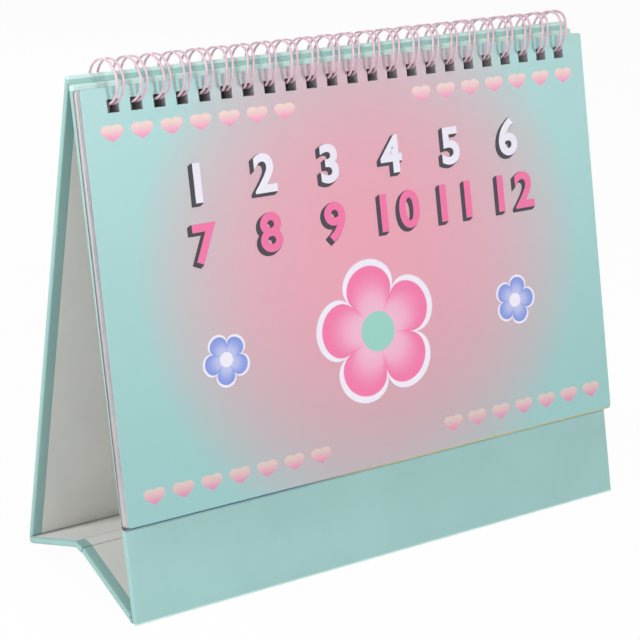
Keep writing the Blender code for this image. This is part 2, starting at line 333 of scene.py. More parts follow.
def carve(piece: Piece, cutters: list[Piece]) -> None:
    """Cuts the cutters out of a piece and applies the result to its mesh.

    Args:
        piece: The object that is cut.
        cutters: The shapes to take away.
    """
    for cutter in cutters:
        cut = piece.modifiers.new("cut", "BOOLEAN")
        cut.object = cutter
        cut.operation = "DIFFERENCE"
        cut.solver = "EXACT"
    graph = bpy.context.evaluated_depsgraph_get()
    carved = bpy.data.meshes.new_from_object(piece.evaluated_get(graph))
    piece.modifiers.clear()
    plain = piece.data
    piece.data = carved
    carved.name = plain.name
    bpy.data.meshes.remove(plain)


def discard(cutters: list[Piece]) -> None:
    """Removes cutters that have done their work."""
    for cutter in cutters:
        bpy.data.objects.remove(cutter)


def hole_places() -> list[float]:
    """The middle of every punched hole on X."""
    return [(index - (HOLE_COUNT - 1) / 2) * HOLE_PITCH for index in range(HOLE_COUNT)]


def hole_spans() -> list[Span]:
    """Where every punched hole starts and ends on X."""
    return [(place - HOLE_SIZE / 2, place + HOLE_SIZE / 2) for place in hole_places()]


class Graph:
    """Adds nodes to one node tree and joins them."""

    def __init__(self, tree: bpy.types.NodeTree) -> None:
        """Takes the tree that the nodes go into."""
        self.tree = tree

    def add(self, kind: str, **settings: object) -> Node:
        """Adds a node.

        Args:
            kind: The node's type name.
            settings: Properties to set on it.

        Returns:
            The new node.
        """
        node = self.tree.nodes.new(kind)
        for name, value in settings.items():
            setattr(node, name, value)
        return node

    def feed(self, socket: Socket, source: Source | Colour) -> None:
        """Joins a source to an input, or sets it there if it is a plain value.

        Args:
            socket: The input.
            source: The source, a value or a colour.
        """
        if isinstance(source, Socket):
            self.tree.links.new(source, socket)
        elif isinstance(source, tuple) and len(source) == 3 and socket.type == "RGBA":
            socket.default_value = (*source, 1.0)
        else:
            socket.default_value = source

    def math(self, operation: str, *sources: Source, clamp: bool = False) -> Socket:
        """Adds one step of arithmetic.

        Args:
            operation: The Math node's operation.
            sources: Its inputs, in order.
            clamp: Whether the result is held between 0 and 1.

        Returns:
            The result.
        """
        node = self.add("ShaderNodeMath", operation=operation, use_clamp=clamp)
        for socket, source in zip(node.inputs, sources):
            self.feed(socket, source)
        return node.outputs[0]

    def ramp(self, value: Source, low: Source, high: Source) -> Socket:
        """A smooth step.

        Args:
            value: The value that it follows.
            low: Where it is 0.
            high: Where it is 1.

        Returns:
            The step.
        """
        node = self.add("ShaderNodeMapRange", interpolation_type="SMOOTHSTEP")
        self.feed(node.inputs["Value"], value)
        self.feed(node.inputs["From Min"], low)
        self.feed(node.inputs["From Max"], high)
        return node.outputs["Result"]

    def fall(self, value: Source, low: Source, high: Source) -> Socket:
        """A smooth step from 1 at low to 0 at high."""
        return self.math("SUBTRACT", 1.0, self.ramp(value, low, high))

    def mix(self, share: Source, first: Source | Colour, second: Source | Colour) -> Socket:
        """Mixes two colours.

        Args:
            share: How much of the second colour shows.
            first: The colour at 0.
            second: The colour at 1.

        Returns:
            The mixed colour.
        """
        node = self.add("ShaderNodeMix", data_type="RGBA", clamp_factor=True)
        self.feed(node.inputs["Factor"], share)
        self.feed(node.inputs["A"], first)
        self.feed(node.inputs["B"], second)
        return next(out for out in node.outputs if out.type == "RGBA")

    def length(self, across: Source, along: Source) -> Socket:
        """The length of a step across and a step along."""
        squares = [self.math("MULTIPLY", side, side) for side in (across, along)]
        return self.math("SQRT", self.math("ADD", *squares))

    def band(self, value: Source, low: float, high: float) -> Socket:
        """One where a value lies between two limits, and zero elsewhere."""
        above = self.math("GREATER_THAN", value, low)
        return self.math("MULTIPLY", above, self.math("LESS_THAN", value, high))

    def line(self, value: Source, pitch: float, width: float) -> Socket:
        """One on thin lines that stand a pitch apart, and zero between them."""
        within = self.math("FLOORED_MODULO", self.math("ADD", value, width / 2), pitch)
        return self.math("LESS_THAN", within, width)

    def noise(self, place: Socket, scale: Source, detail: float = 2.0) -> Socket:
        """Soft noise over the surface.

        Args:
            place: The place on the surface.
            scale: How many waves fit in a metre.
            detail: How many finer layers it has.

        Returns:
            The noise, from 0 to 1.
        """
        node = self.add("ShaderNodeTexNoise")
        self.feed(node.inputs["Vector"], place)
        self.feed(node.inputs["Scale"], scale)
        self.feed(node.inputs["Detail"], detail)
        return node.outputs[0]

    def bump(self, shader: Node, height: Socket, distance: float) -> None:
        """Lets a height stand out from a shader's surface.

        Args:
            shader: The shader.
            height: The height.
            distance: How far a height of 1 stands out.
        """
        node = self.add("ShaderNodeBump")
        self.feed(node.inputs["Distance"], distance)
        self.feed(node.inputs["Height"], height)
        self.feed(shader.inputs["Normal"], node.outputs["Normal"])

    def show(self, share: Socket, first: Node, second: Node, output: str) -> None:
        """Mixes two shaders into the tree's output.

        Args:
            share: How much of the second shader shows.
            first: The shader at 0.
            second: The shader at 1.
            output: The name of the output node.
        """
        node = self.add("ShaderNodeMixShader")
        self.feed(node.inputs[0], share)
        self.feed(node.inputs[1], first.outputs[0])
        self.feed(node.inputs[2], second.outputs[0])
        self.feed(self.tree.nodes[output].inputs["Surface"], node.outputs[0])

    def object_place(self) -> Socket:
        """The place on the object, in metres."""
        return self.add("ShaderNodeTexCoord").outputs["Object"]

    def group(self, tree: bpy.types.NodeTree, **sources: Source | Colour) -> Node:
        """Places a node group and feeds its inputs.

        Args:
            tree: The group's tree.
            sources: The inputs by name, with an underline for each space.

        Returns:
            The group's node.
        """
        node = self.add("ShaderNodeGroup", node_tree=tree)
        for name, source in sources.items():
            self.feed(node.inputs[name.replace("_", " ")], source)
        return node


class SharedEffect:
    """A shader node group that several materials use.

    Attributes:
        name: The group's name.
        inputs: The names of its inputs.
        outputs: The names of its outputs, which are numbers.
        PLACE: The only input that is a place and not a number.
    """

    name = "effect"
    inputs: tuple[str, ...] = ()
    outputs: tuple[str, ...] = ()
    PLACE = "Place"

    def __init__(self) -> None:
        """Builds the group once."""
        self.tree = bpy.data.node_groups.new(self.name, "ShaderNodeTree")
        for label in self.inputs:
            kind = "NodeSocketVector" if label == self.PLACE else "NodeSocketFloat"
            self.tree.interface.new_socket(label, in_out="INPUT", socket_type=kind)
        for label in self.outputs:
            self.tree.interface.new_socket(label, in_out="OUTPUT", socket_type="NodeSocketFloat")
        graph = Graph(self.tree)
        given = graph.add("NodeGroupInput")
        made = self.draw(graph, given.outputs)
        result = graph.add("NodeGroupOutput")
        for label, socket in made.items():
            graph.feed(result.inputs[label], socket)

    def draw(self, graph: Graph, given: Outputs) -> dict[str, Socket]:
        """Draws the effect's nodes.

        Args:
            graph: The group's own graph.
            given: The group's inputs.

        Returns:
            The outputs by name.
        """
        raise NotImplementedError


class PaperGrain(SharedEffect):
    """Fibres and soft cloudiness of paper and board."""

    name = "paper grain"
    inputs = ("Place", "Fibre Scale", "Cloud Scale")
    outputs = ("Height", "Cloud")
    GRAIN_DETAIL = 3.0
    FIBRE_DETAIL = 1.0
    FIBRE_STRETCH = (0.25, 1.0, 1.0)
    FIBRE_SHARE = 0.6

    def draw(self, graph: Graph, given: Outputs) -> dict[str, Socket]:
        """Mixes fine grain with longer fibres, and adds a broad cloud.

        Args:
            graph: The group's own graph.
            given: The group's inputs.

        Returns:
            The outputs by name.
        """
        fine = graph.noise(given["Place"], given["Fibre Scale"], self.GRAIN_DETAIL)
        stretch = graph.add("ShaderNodeMapping")
        graph.feed(stretch.inputs["Vector"], given["Place"])
        stretch.inputs["Scale"].default_value = self.FIBRE_STRETCH
        fibre = graph.noise(stretch.outputs[0], given["Fibre Scale"], self.FIBRE_DETAIL)
        cloud = graph.noise(given["Place"], given["Cloud Scale"], self.GRAIN_DETAIL)
        height = graph.math("ADD", fine, graph.math("MULTIPLY", fibre, self.FIBRE_SHARE))
        return {"Height": height, "Cloud": cloud}


class HeartStamp(SharedEffect):
    """A plain heart, in coordinates measured from its middle.

    Attributes:
        BLUNTNESS: How blunt the notch between its lobes is.
        LOBES: How high its lobes stand.
        SQUAT: How much it is flattened.
        DROP: How far it is moved down, so that its middle is at the origin.
        RISE: Where its ink turns from the colour of the foot to that of the top.
    """

    name = "heart stamp"
    inputs = ("U", "V", "Size", "Softness")
    outputs = ("Mask", "Rise")
    BLUNTNESS = 0.06
    LOBES = 0.68
    SQUAT = 1.64
    DROP = 0.29
    RISE = (-0.75, 0.6)

    def draw(self, graph: Graph, given: Outputs) -> dict[str, Socket]:
        """Draws the heart as the inside of a bent circle.

        Args:
            graph: The group's own graph.
            given: The group's inputs.

        Returns:
            The outputs by name.
        """
        across = graph.math("DIVIDE", given["U"], given["Size"])
        along = graph.math("DIVIDE", given["V"], given["Size"])
        side = graph.math("ADD", graph.math("ABSOLUTE", across), self.BLUNTNESS)
        lobes = graph.math("MULTIPLY", graph.math("SQRT", side), self.LOBES)
        bent = graph.math("SUBTRACT", graph.math("MULTIPLY", along, self.SQUAT), lobes)
        bent = graph.math("ADD", bent, self.DROP)
        reach = graph.length(across, bent)
        inside = graph.math("SUBTRACT", 1.0, given["Softness"])
        outside = graph.math("ADD", 1.0, given["Softness"])
        return {"Mask": graph.fall(reach, inside, outside), "Rise": graph.ramp(along, *self.RISE)}


class BlossomStamp(SharedEffect):
    """A plain five-petalled blossom, in coordinates measured from its middle.

    Attributes:
        PETALS: How many petals it has.
        RIM: The size of its pale rim.
        EYE: The size of its eye.
        EYE_SOFTNESS: How soft the eye's edge is.
        NOTCH: How far out the notches between its petals reach.
        BLUNTNESS: The power that rounds its petals. Less is blunter.
        EDGE: Where a petal ends, as shares of its length.
        PALE: Where the pale middle fades, as shares of a petal's length.
    """

    name = "blossom stamp"
    inputs = ("U", "V", "Size", "Turn")
    outputs = ("Rim", "Petals", "Inner", "Eye")
    PETALS = 5
    RIM = 1.1
    EYE = 0.3
    EYE_SOFTNESS = 0.01
    NOTCH = 0.55
    BLUNTNESS = 0.45
    EDGE = (0.985, 1.015)
    PALE = (0.35, 0.95)

    def draw(self, graph: Graph, given: Outputs) -> dict[str, Socket]:
        """Draws petals as a circle that swells with the angle, inside a rim and round an eye.

        Args:
            graph: The group's own graph.
            given: The group's inputs.

        Returns:
            The outputs by name.
        """
        across = graph.math("DIVIDE", given["U"], given["Size"])
        along = graph.math("DIVIDE", given["V"], given["Size"])
        reach = graph.length(across, along)
        angle = graph.math("ADD", graph.math("ARCTAN2", across, along), given["Turn"])
        wave = graph.math("COSINE", graph.math("MULTIPLY", angle, self.PETALS / 2))
        lobe = graph.math("POWER", graph.math("ABSOLUTE", wave), self.BLUNTNESS)
        edge = graph.math("ADD", self.NOTCH, graph.math("MULTIPLY", lobe, 1.0 - self.NOTCH))
        share = graph.math("DIVIDE", reach, edge)
        rim_share = graph.math("DIVIDE", graph.math("SUBTRACT", reach, self.RIM - 1.0), edge)
        return {
            "Rim": graph.fall(rim_share, *self.EDGE),
            "Petals": graph.fall(share, *self.EDGE),
            "Inner": graph.fall(share, *self.PALE),
            "Eye": graph.fall(reach, self.EYE - self.EYE_SOFTNESS, self.EYE + self.EYE_SOFTNESS),
        }


GRAIN = PaperGrain()
HEART = HeartStamp()
BLOSSOM = BlossomStamp()


def start_material(name: str) -> tuple[Material, Graph, Node]:
    """Makes a material with its own Principled shader.

    Args:
        name: The material's name.

    Returns:
        The material, its graph and its shader.
    """
    made = bpy.data.materials.new(name)
    made.use_nodes = True
    return made, Graph(made.node_tree), made.node_tree.nodes["Principled BSDF"]


@dataclass(frozen=True)
class PaperFinish:
    """Paper or board with fibres, soft clouds of colour and a faint bump.

    Attributes:
        name: The material's name.
        colour: Its main colour.
        cloud_colour: The colour that its clouds lean to.
        roughness: Its roughness.
        fibre_scale: How many fibres fit in a metre.
        cloud_scale: How many clouds fit in a metre.
        fibre_depth: How far the fibres stand out.
        sheen: How much its surface glows at a slant.
        specular: The strength of its reflections.
        CLOUD_TURN: Where the colour turns to that of the clouds.
        MEAN_HEIGHT: The mean height of the shared grain.
        ROUGHNESS_PLAY: How much the roughness changes with the grain.
    """

    name: str
    colour: Colour
    cloud_colour: Colour
    roughness: float = 0.6
    fibre_scale: float = 2400.0
    cloud_scale: float = 34.0
    fibre_depth: float = 0.00001
    sheen: float = 0.0
    specular: float = 0.35
    CLOUD_TURN = (0.3, 0.7)
    MEAN_HEIGHT = 0.8
    ROUGHNESS_PLAY = 0.12

    def make(self) -> Material:
        """Builds the material.

        Returns:
            The material.
        """
        made, graph, shader = start_material(self.name)
        place = graph.object_place()
        self.dress(graph, shader, place, self.clouded(graph, place))
        return made

    def grain(self, graph: Graph, place: Socket) -> Outputs:
        """The height and the cloud of this paper's grain."""
        scales = {"Fibre_Scale": self.fibre_scale, "Cloud_Scale": self.cloud_scale}
        return graph.group(GRAIN.tree, Place=place, **scales).outputs

    def clouded(self, graph: Graph, place: Socket) -> Socket:
        """The colour with its clouds."""
        cloud = graph.ramp(self.grain(graph, place)["Cloud"], *self.CLOUD_TURN)
        return graph.mix(cloud, self.colour, self.cloud_colour)

    def dress(self, graph: Graph, shader: Node, place: Socket, colour: Socket) -> None:
        """Joins colour, roughness and fibres to the shader.

        Args:
            graph: The material's graph.
            shader: Its Principled shader.
            place: The place on the object.
            colour: The finished colour.
        """
        height = self.grain(graph, place)["Height"]
        graph.feed(shader.inputs["Base Color"], colour)
        uneven = graph.math("SUBTRACT", height, self.MEAN_HEIGHT)
        rough = graph.math("MULTIPLY", uneven, self.ROUGHNESS_PLAY)
        graph.feed(shader.inputs["Roughness"], graph.math("ADD", rough, self.roughness, clamp=True))
        graph.bump(shader, height, self.fibre_depth)
        shader.inputs["Specular IOR Level"].default_value = self.specular
        shader.inputs["Sheen Weight"].default_value = self.sheen


@dataclass(frozen=True)
class WireFinish:
    """The smooth coating of the binding wire.

    Attributes:
        name: The material's name.
        colour: Its main colour.
        worn_colour: The colour that shows where the coating is thinner.
        roughness: Its least roughness.
        wear_scale: How many worn places fit in a metre.
        wear_turn: Where the colour turns to the worn one.
        grain_scale: How many grains of the coating fit in a metre.
        grain_roughness: How much a grain adds to the roughness.
        grain_depth: How far the grains stand out.
        coat: The strength of the clear coat.
        coat_roughness: The clear coat's roughness.
    """

    name: str
    colour: Colour
    worn_colour: Colour
    roughness: float = 0.32
    wear_scale: float = 260.0
    wear_turn: Span = (0.4, 0.75)
    grain_scale: float = 1800.0
    grain_roughness: float = 0.1
    grain_depth: float = 0.000004
    coat: float = 0.3
    coat_roughness: float = 0.25

    def make(self) -> Material:
        """Builds the material.

        Returns:
            The material.
        """
        made, graph, shader = start_material(self.name)
        place = graph.object_place()
        wear = graph.ramp(graph.noise(place, self.wear_scale), *self.wear_turn)
        graph.feed(shader.inputs["Base Color"], graph.mix(wear, self.colour, self.worn_colour))
        fine = graph.noise(place, self.grain_scale)
        rough = graph.math("MULTIPLY", fine, self.grain_roughness)
        graph.feed(shader.inputs["Roughness"], graph.math("ADD", rough, self.roughness))
        graph.bump(shader, fine, self.grain_depth)
        shader.inputs["Coat Weight"].default_value = self.coat
        shader.inputs["Coat Roughness"].default_value = self.coat_roughness
        return made


class Page:
    """The graph of a leaf's material, with the leaf's own coordinates.

    Attributes:
        graph: The material's graph.
        u: The place along the leaf, from its middle to the right, in metres.
        v: The place down the leaf, from its top edge, in metres.
    """

    def __init__(self, graph: Graph) -> None:
        """Turns the place on the object into the leaf's coordinates.

        Args:
            graph: The material's graph.
        """
        turn = graph.add("ShaderNodeMapping", vector_type="TEXTURE")
        turn.inputs["Location"].default_value = FRONT.point(0.0, LEAF_TOP)
        turn.inputs["Rotation"].default_value = (-LEAN, 0.0, 0.0)
        graph.feed(turn.inputs["Vector"], graph.object_place())
        parts = graph.add("ShaderNodeSeparateXYZ")
        graph.feed(parts.inputs[0], turn.outputs[0])
        self.graph = graph
        self.u = parts.outputs["X"]
        self.v = graph.math("MULTIPLY", parts.outputs["Z"], -1.0)


class Ink(Enum):
    """The printing inks, as linear colours."""

    WHITE = srgb(238, 234, 246)
    ROSE = srgb(240, 120, 168)
    CHARCOAL = srgb(66, 64, 72)
    PERIWINKLE = srgb(132, 152, 222)
    HEART_TOP = srgb(240, 216, 209)
    HEART_FOOT = srgb(240, 152, 192)
    MINT = srgb(150, 208, 194)
    SLATE = srgb(92, 118, 130)
    NAVY = srgb(74, 100, 128)
    GOLD = srgb(214, 192, 120)


@dataclass(frozen=True)
class HeartRow:
    """One row of plain hearts along the leaf, in two groups with an empty middle.

    Attributes:
        v: How far the row's middle is below the leaf's top edge.
        inner: From the leaf's middle to the first heart of a group.
        pitch: From heart to heart.
        count: How many hearts a group has.
        size: Half a heart's width.
        tone: How light the row's inks are kept; below 1 is painted shade.
        softness: How soft a heart's edge is, as a share of its size.
    """

    v: float
    inner: float = 0.0288
    pitch: float = 0.01095
    count: int = 7
    size: float = 0.0041
    tone: float = 1.0
    softness: float = 0.07

    def ink(self, ink: Ink) -> Colour:
        """An ink at the row's painted light level, darker where there is painted shade."""
        return tuple(level * self.tone for level in ink.value)


@dataclass(frozen=True)
class Blossom:
    """One plain blossom on the cover.

    Attributes:
        u: Its middle, from the leaf's middle to the right.
        v: Its middle, from the leaf's top edge down.
        size: From its middle to the tip of a petal.
        turn: Its turn, in radians.
        petal: The ink of its petals.
        eye: The ink of its eye.
        paleness: How much white shows in the middle of its petals.
    """

    u: float
    v: float
    size: float
    turn: float
    petal: Ink
    eye: Ink
    paleness: float = 0.45


@dataclass(frozen=True)
class CoverFinish:
    """The cover's print: a soft glow, rows of plain hearts and plain blossoms.

    Attributes:
        paper: The paper that it is printed on.
        edge_high: The colour of the margins at the top.
        edge_low: The colour of the margins at the foot, darker than at the top as painted shade.
        edge_turn: Where the margins turn from one colour to the other, from the leaf's top edge down.
        glow_high: The colour in the upper part of the glow.
        glow_low: The colour in its lower part.
        glow_turn: Where the glow turns from one colour to the other, from the leaf's top edge down.
        glow_u: The glow's middle, from the leaf's middle to the right.
        glow_v: The glow's middle, from the leaf's top edge down.
        glow_width: Half the glow's width.
        glow_height: Half the glow's height.
        glow_falloff: The power with which the glow fades from its middle.
        rows: The rows of hearts.
        blossoms: The blossoms.
    """

    paper: PaperFinish
    edge_high: Colour = srgb(180, 220, 218)
    # Painted shade: the margins darken from the top to the foot.
    edge_low: Colour = srgb(152, 199, 197)
    edge_turn: Span = (-0.05, 0.15)
    glow_high: Colour = srgb(230, 162, 179)
    glow_low: Colour = srgb(215, 156, 170)
    glow_turn: Span = (0.06, 0.142)
    glow_u: float = 0.001
    glow_v: float = 0.071
    glow_width: float = 0.0935
    glow_height: float = 0.096
    glow_falloff: float = 2.6
    # Painted shade: the lower row's inks are darkened.
    rows: tuple[HeartRow, ...] = (HeartRow(0.0148), HeartRow(0.1335, tone=0.82))
    blossoms: tuple[Blossom, ...] = (
        Blossom(0.0, 0.095, 0.0235, 0.15, Ink.ROSE, Ink.MINT),
        Blossom(-0.062, 0.094, 0.0085, 0.5, Ink.PERIWINKLE, Ink.WHITE),
        Blossom(0.062, 0.094, 0.0085, -0.3, Ink.PERIWINKLE, Ink.WHITE),
    )

    def make(self) -> Material:
        """Builds the material.

        Returns:
            The material.
        """
        made, graph, shader = start_material("cover print")
        page = Page(graph)
        colour = self.field(page)
        for row in self.rows:
            colour = self.print_row(page, row, colour)
        for blossom in self.blossoms:
            colour = self.print_blossom(page, blossom, colour)
        self.paper.dress(graph, shader, graph.object_place(), colour)
        return made

    def field(self, page: Page) -> Socket:
        """Draws the ground of the print.

        Args:
            page: The leaf's graph and coordinates.

        Returns:
            Margins that darken to the foot as painted shade, round a glow in the middle.
        """
        graph = page.graph
        # Painted shade: the margins darken towards the foot.
        margin = graph.mix(graph.ramp(page.v, *self.edge_turn), self.edge_high, self.edge_low)
        glow = graph.mix(graph.ramp(page.v, *self.glow_turn), self.glow_high, self.glow_low)
        across = graph.math("DIVIDE", graph.math("SUBTRACT", page.u, self.glow_u), self.glow_width)
        along = graph.math("DIVIDE", graph.math("SUBTRACT", page.v, self.glow_v), self.glow_height)
        faded = graph.math("POWER", graph.length(across, along), self.glow_falloff)
        return graph.mix(graph.math("SUBTRACT", 1.0, faded, clamp=True), margin, glow)

    def print_row(self, page: Page, row: HeartRow, ground: Socket) -> Socket:
        """Prints one row of hearts.

        Args:
            page: The leaf's graph and coordinates.
            row: The row.
            ground: The colour so far.

        Returns:
            The colour with the row.
        """
        graph = page.graph
        outwards = graph.math("SUBTRACT", graph.math("ABSOLUTE", page.u), row.inner - row.pitch / 2)
        within = graph.math("FLOORED_MODULO", outwards, row.pitch)
        heart = graph.group(
            HEART.tree,
            U=graph.math("SUBTRACT", within, row.pitch / 2),
            V=graph.math("SUBTRACT", row.v, page.v),
            Size=row.size,
            Softness=row.softness,
        )
        inside = graph.band(outwards, 0.0, row.count * row.pitch)
        mask = graph.math("MULTIPLY", heart.outputs["Mask"], inside)
        # Painted shade: the row's inks are darkened by its painted light level.
        ink = graph.mix(heart.outputs["Rise"], row.ink(Ink.HEART_FOOT), row.ink(Ink.HEART_TOP))
        return graph.mix(mask, ground, ink)

    def print_blossom(self, page: Page, blossom: Blossom, ground: Socket) -> Socket:
        """Prints one blossom.

        Args:
            page: The leaf's graph and coordinates.
            blossom: The blossom.
            ground: The colour so far.

        Returns:
            The colour with the blossom.
        """
        graph = page.graph
        stamp = graph.group(
            BLOSSOM.tree,
            U=graph.math("SUBTRACT", page.u, blossom.u),
            V=graph.math("SUBTRACT", blossom.v, page.v),
            Size=blossom.size,
            Turn=blossom.turn,
        )
        colour = graph.mix(stamp.outputs["Rim"], ground, Ink.WHITE.value)
        colour = graph.mix(stamp.outputs["Petals"], colour, blossom.petal.value)
        paler = graph.math("MULTIPLY", stamp.outputs["Inner"], blossom.paleness)
        colour = graph.mix(paler, colour, Ink.WHITE.value)
        return graph.mix(stamp.outputs["Eye"], colour, blossom.eye.value)


@dataclass(frozen=True)
class DayGrid:
    """The grid of days on a month leaf.

    Attributes:
        columns: Days in a row.
        rows: Rows of days.
        column: The width of a day.
        row: The height of a day.
        top: The grid's top, from the leaf's top edge down.
        rule: The width of a line.
    """

    columns: int = 7
    rows: int = 6
    column: float = 0.0262
    row: float = 0.0158
    top: float = 0.037
    rule: float = 0.0004

    @property
    def half_width(self) -> float:
        """Half the width of the grid."""
        return self.columns * self.column / 2

    @property
    def foot(self) -> float:
        """The grid's foot, from the leaf's top edge down."""
        return self.top + self.rows * self.row


DAY_GRID = DayGrid()


class LeafTint(Enum):
    """The colours of the heads of the month leaves, in turn."""

    MINT = srgb(176, 218, 212)
    ROSE = srgb(240, 186, 202)
    SKY = srgb(178, 196, 232)
    PEACH = srgb(246, 214, 190)


@dataclass(frozen=True)
class MonthFinish:
    """A month leaf's print: a coloured head and a ruled grid of days.

    Attributes:
        paper: The paper that it is printed on.
        tint: The colour of the head and the rules.
        head: The span of the head, from the leaf's top edge down.
        strip: The height of a coloured strip at the leaf's foot.
        strip_turn: Where the strip turns from navy to gold, along the leaf.
    """

    paper: PaperFinish
    tint: LeafTint
    head: Span = (0.0135, 0.031)
    strip: float = 0.0
    strip_turn: Span = (-0.05, 0.01)

    def make(self) -> Material:
        """Builds the material.

        Returns:
            The material.
        """
        made, graph, shader = start_material("month leaf " + self.tint.name.lower())
        page = Page(graph)
        place = graph.object_place()
        colour = self.paper.clouded(graph, place)
        head = graph.band(page.v, *self.head)
        side = graph.math("LESS_THAN", graph.math("ABSOLUTE", page.u), DAY_GRID.half_width)
        colour = graph.mix(graph.math("MULTIPLY", head, side), colour, self.tint.value)
        colour = graph.mix(self.rules(page), colour, self.tint.value)
        strip = graph.mix(graph.ramp(page.u, *self.strip_turn), Ink.NAVY.value, Ink.GOLD.value)
        colour = graph.mix(graph.math("GREATER_THAN", page.v, LEAF_HEIGHT - self.strip), colour, strip)
        self.paper.dress(graph, shader, place, colour)
        return made

    def rules(self, page: Page) -> Socket:
        """Draws the lines between the days.

        Args:
            page: The leaf's graph and coordinates.

        Returns:
            One on a line and zero beside it.
        """
        graph = page.graph
        from_left = graph.math("ADD", page.u, DAY_GRID.half_width)
        from_top = graph.math("SUBTRACT", page.v, DAY_GRID.top)
        lines = graph.math(
            "MAXIMUM",
            graph.line(from_left, DAY_GRID.column, DAY_GRID.rule),
            graph.line(from_top, DAY_GRID.row, DAY_GRID.rule),
        )
        reach = DAY_GRID.half_width + DAY_GRID.rule / 2
        side = graph.math("LESS_THAN", graph.math("ABSOLUTE", page.u), reach)
        depth = graph.band(page.v, DAY_GRID.top - DAY_GRID.rule / 2, DAY_GRID.foot + DAY_GRID.rule / 2)
        return graph.math("MULTIPLY", lines, graph.math("MULTIPLY", side, depth))


class EdgeTint(Enum):
    """Tints of the leaves' cut edges, at the top and at the foot, darker than the bare paper partly as
    painted shade of the stack's edges.
    """

    PALE = (srgb(190, 208, 214), srgb(188, 196, 201))
    BLUE = (srgb(124, 143, 156), srgb(160, 166, 172))
    WHITE = (srgb(214, 207, 211), srgb(200, 190, 194))
    SLATE = (srgb(88, 88, 100), srgb(80, 86, 96))


@dataclass(frozen=True)
class EdgeFinish:
    """The cut edge of a leaf, whose tint changes down the leaf.

    Attributes:
        tint: Its tint.
        paper: The paper of the leaf.
        turn: Where the tint changes, from the leaf's top edge down.
        wear_scale: How many places of wear fit in a metre.
        wear_turn: Where the tint turns to bare paper.
        wear: How much bare paper shows where the edge wears.
    """

    tint: EdgeTint
    paper: PaperFinish
    turn: Span = (0.03, 0.12)
    wear_scale: float = 60.0
    wear_turn: Span = (0.4, 0.7)
    wear: float = 0.3

    def make(self) -> Material:
        """Builds the material.

        Returns:
            The material.
        """
        made, graph, shader = start_material("leaf edge " + self.tint.name.lower())
        page = Page(graph)
        place = graph.object_place()
        tinted = graph.mix(graph.ramp(page.v, *self.turn), *self.tint.value)
        worn = graph.ramp(graph.noise(place, self.wear_scale), *self.wear_turn)
        worn = graph.math("MULTIPLY", worn, self.wear)
        self.paper.dress(graph, shader, place, graph.mix(worn, tinted, self.paper.cloud_colour))
        return made


class Paper(Enum):
    """The papers and boards.

    After the colours come the roughness, the scales of the fibres and clouds and the fibres' depth.
    """

    WRAP = PaperFinish(
        "wrap paper", srgb(161, 202, 198), srgb(156, 197, 193), 0.5, 2400.0, 34.0, 0.000008, sheen=0.08
    )
    # Painted highlight: paler wrap paper for folds and strips where the light catches the wrap.
    FOLD = PaperFinish(
        "wrap paper painted highlight", srgb(210, 240, 235), srgb(200, 232, 226), 0.46, 2400.0, 120.0, 0.000008
    )
    # Painted highlight: the top crease is paler than the wrap, for the light on the top.
    CREASE = PaperFinish(
        "crease paper painted highlight", srgb(186, 222, 216), srgb(178, 215, 209), 0.5, 2400.0, 80.0, 0.000008
    )
    LINER = PaperFinish(
        "lining paper", srgb(245, 245, 241), srgb(238, 238, 234), 0.7, 1500.0, 24.0, 0.000012
    )
    BOARD = PaperFinish(
        "greyboard", srgb(140, 137, 132), srgb(118, 115, 111), 0.9, 1100.0, 160.0, 0.00003
    )
    # Painted shade: the walls of the holes are greyer than the paper, for the shade inside them.
    HOLE = PaperFinish(
        "punched edge painted shade", srgb(194, 192, 197), srgb(176, 175, 181), 0.85, 1800.0, 300.0, 0.00002
    )
    LEAF = PaperFinish(
        "leaf paper", srgb(242, 238, 236), srgb(238, 233, 232), 0.62, 2600.0, 40.0, 0.000006
    )
    KRAFT = PaperFinish(
        "kraft card", srgb(210, 181, 126), srgb(204, 174, 119), 0.8, 1400.0, 150.0, 0.00002
    )
    CARD_FACE = PaperFinish("card face", srgb(128, 124, 138), srgb(120, 116, 131), 0.7, 1800.0)


COVER_PAPER = PaperFinish(
    "coated paper", srgb(236, 232, 234), srgb(230, 226, 230), 0.42, 3200.0, 30.0, 0.000004, specular=0.45
)


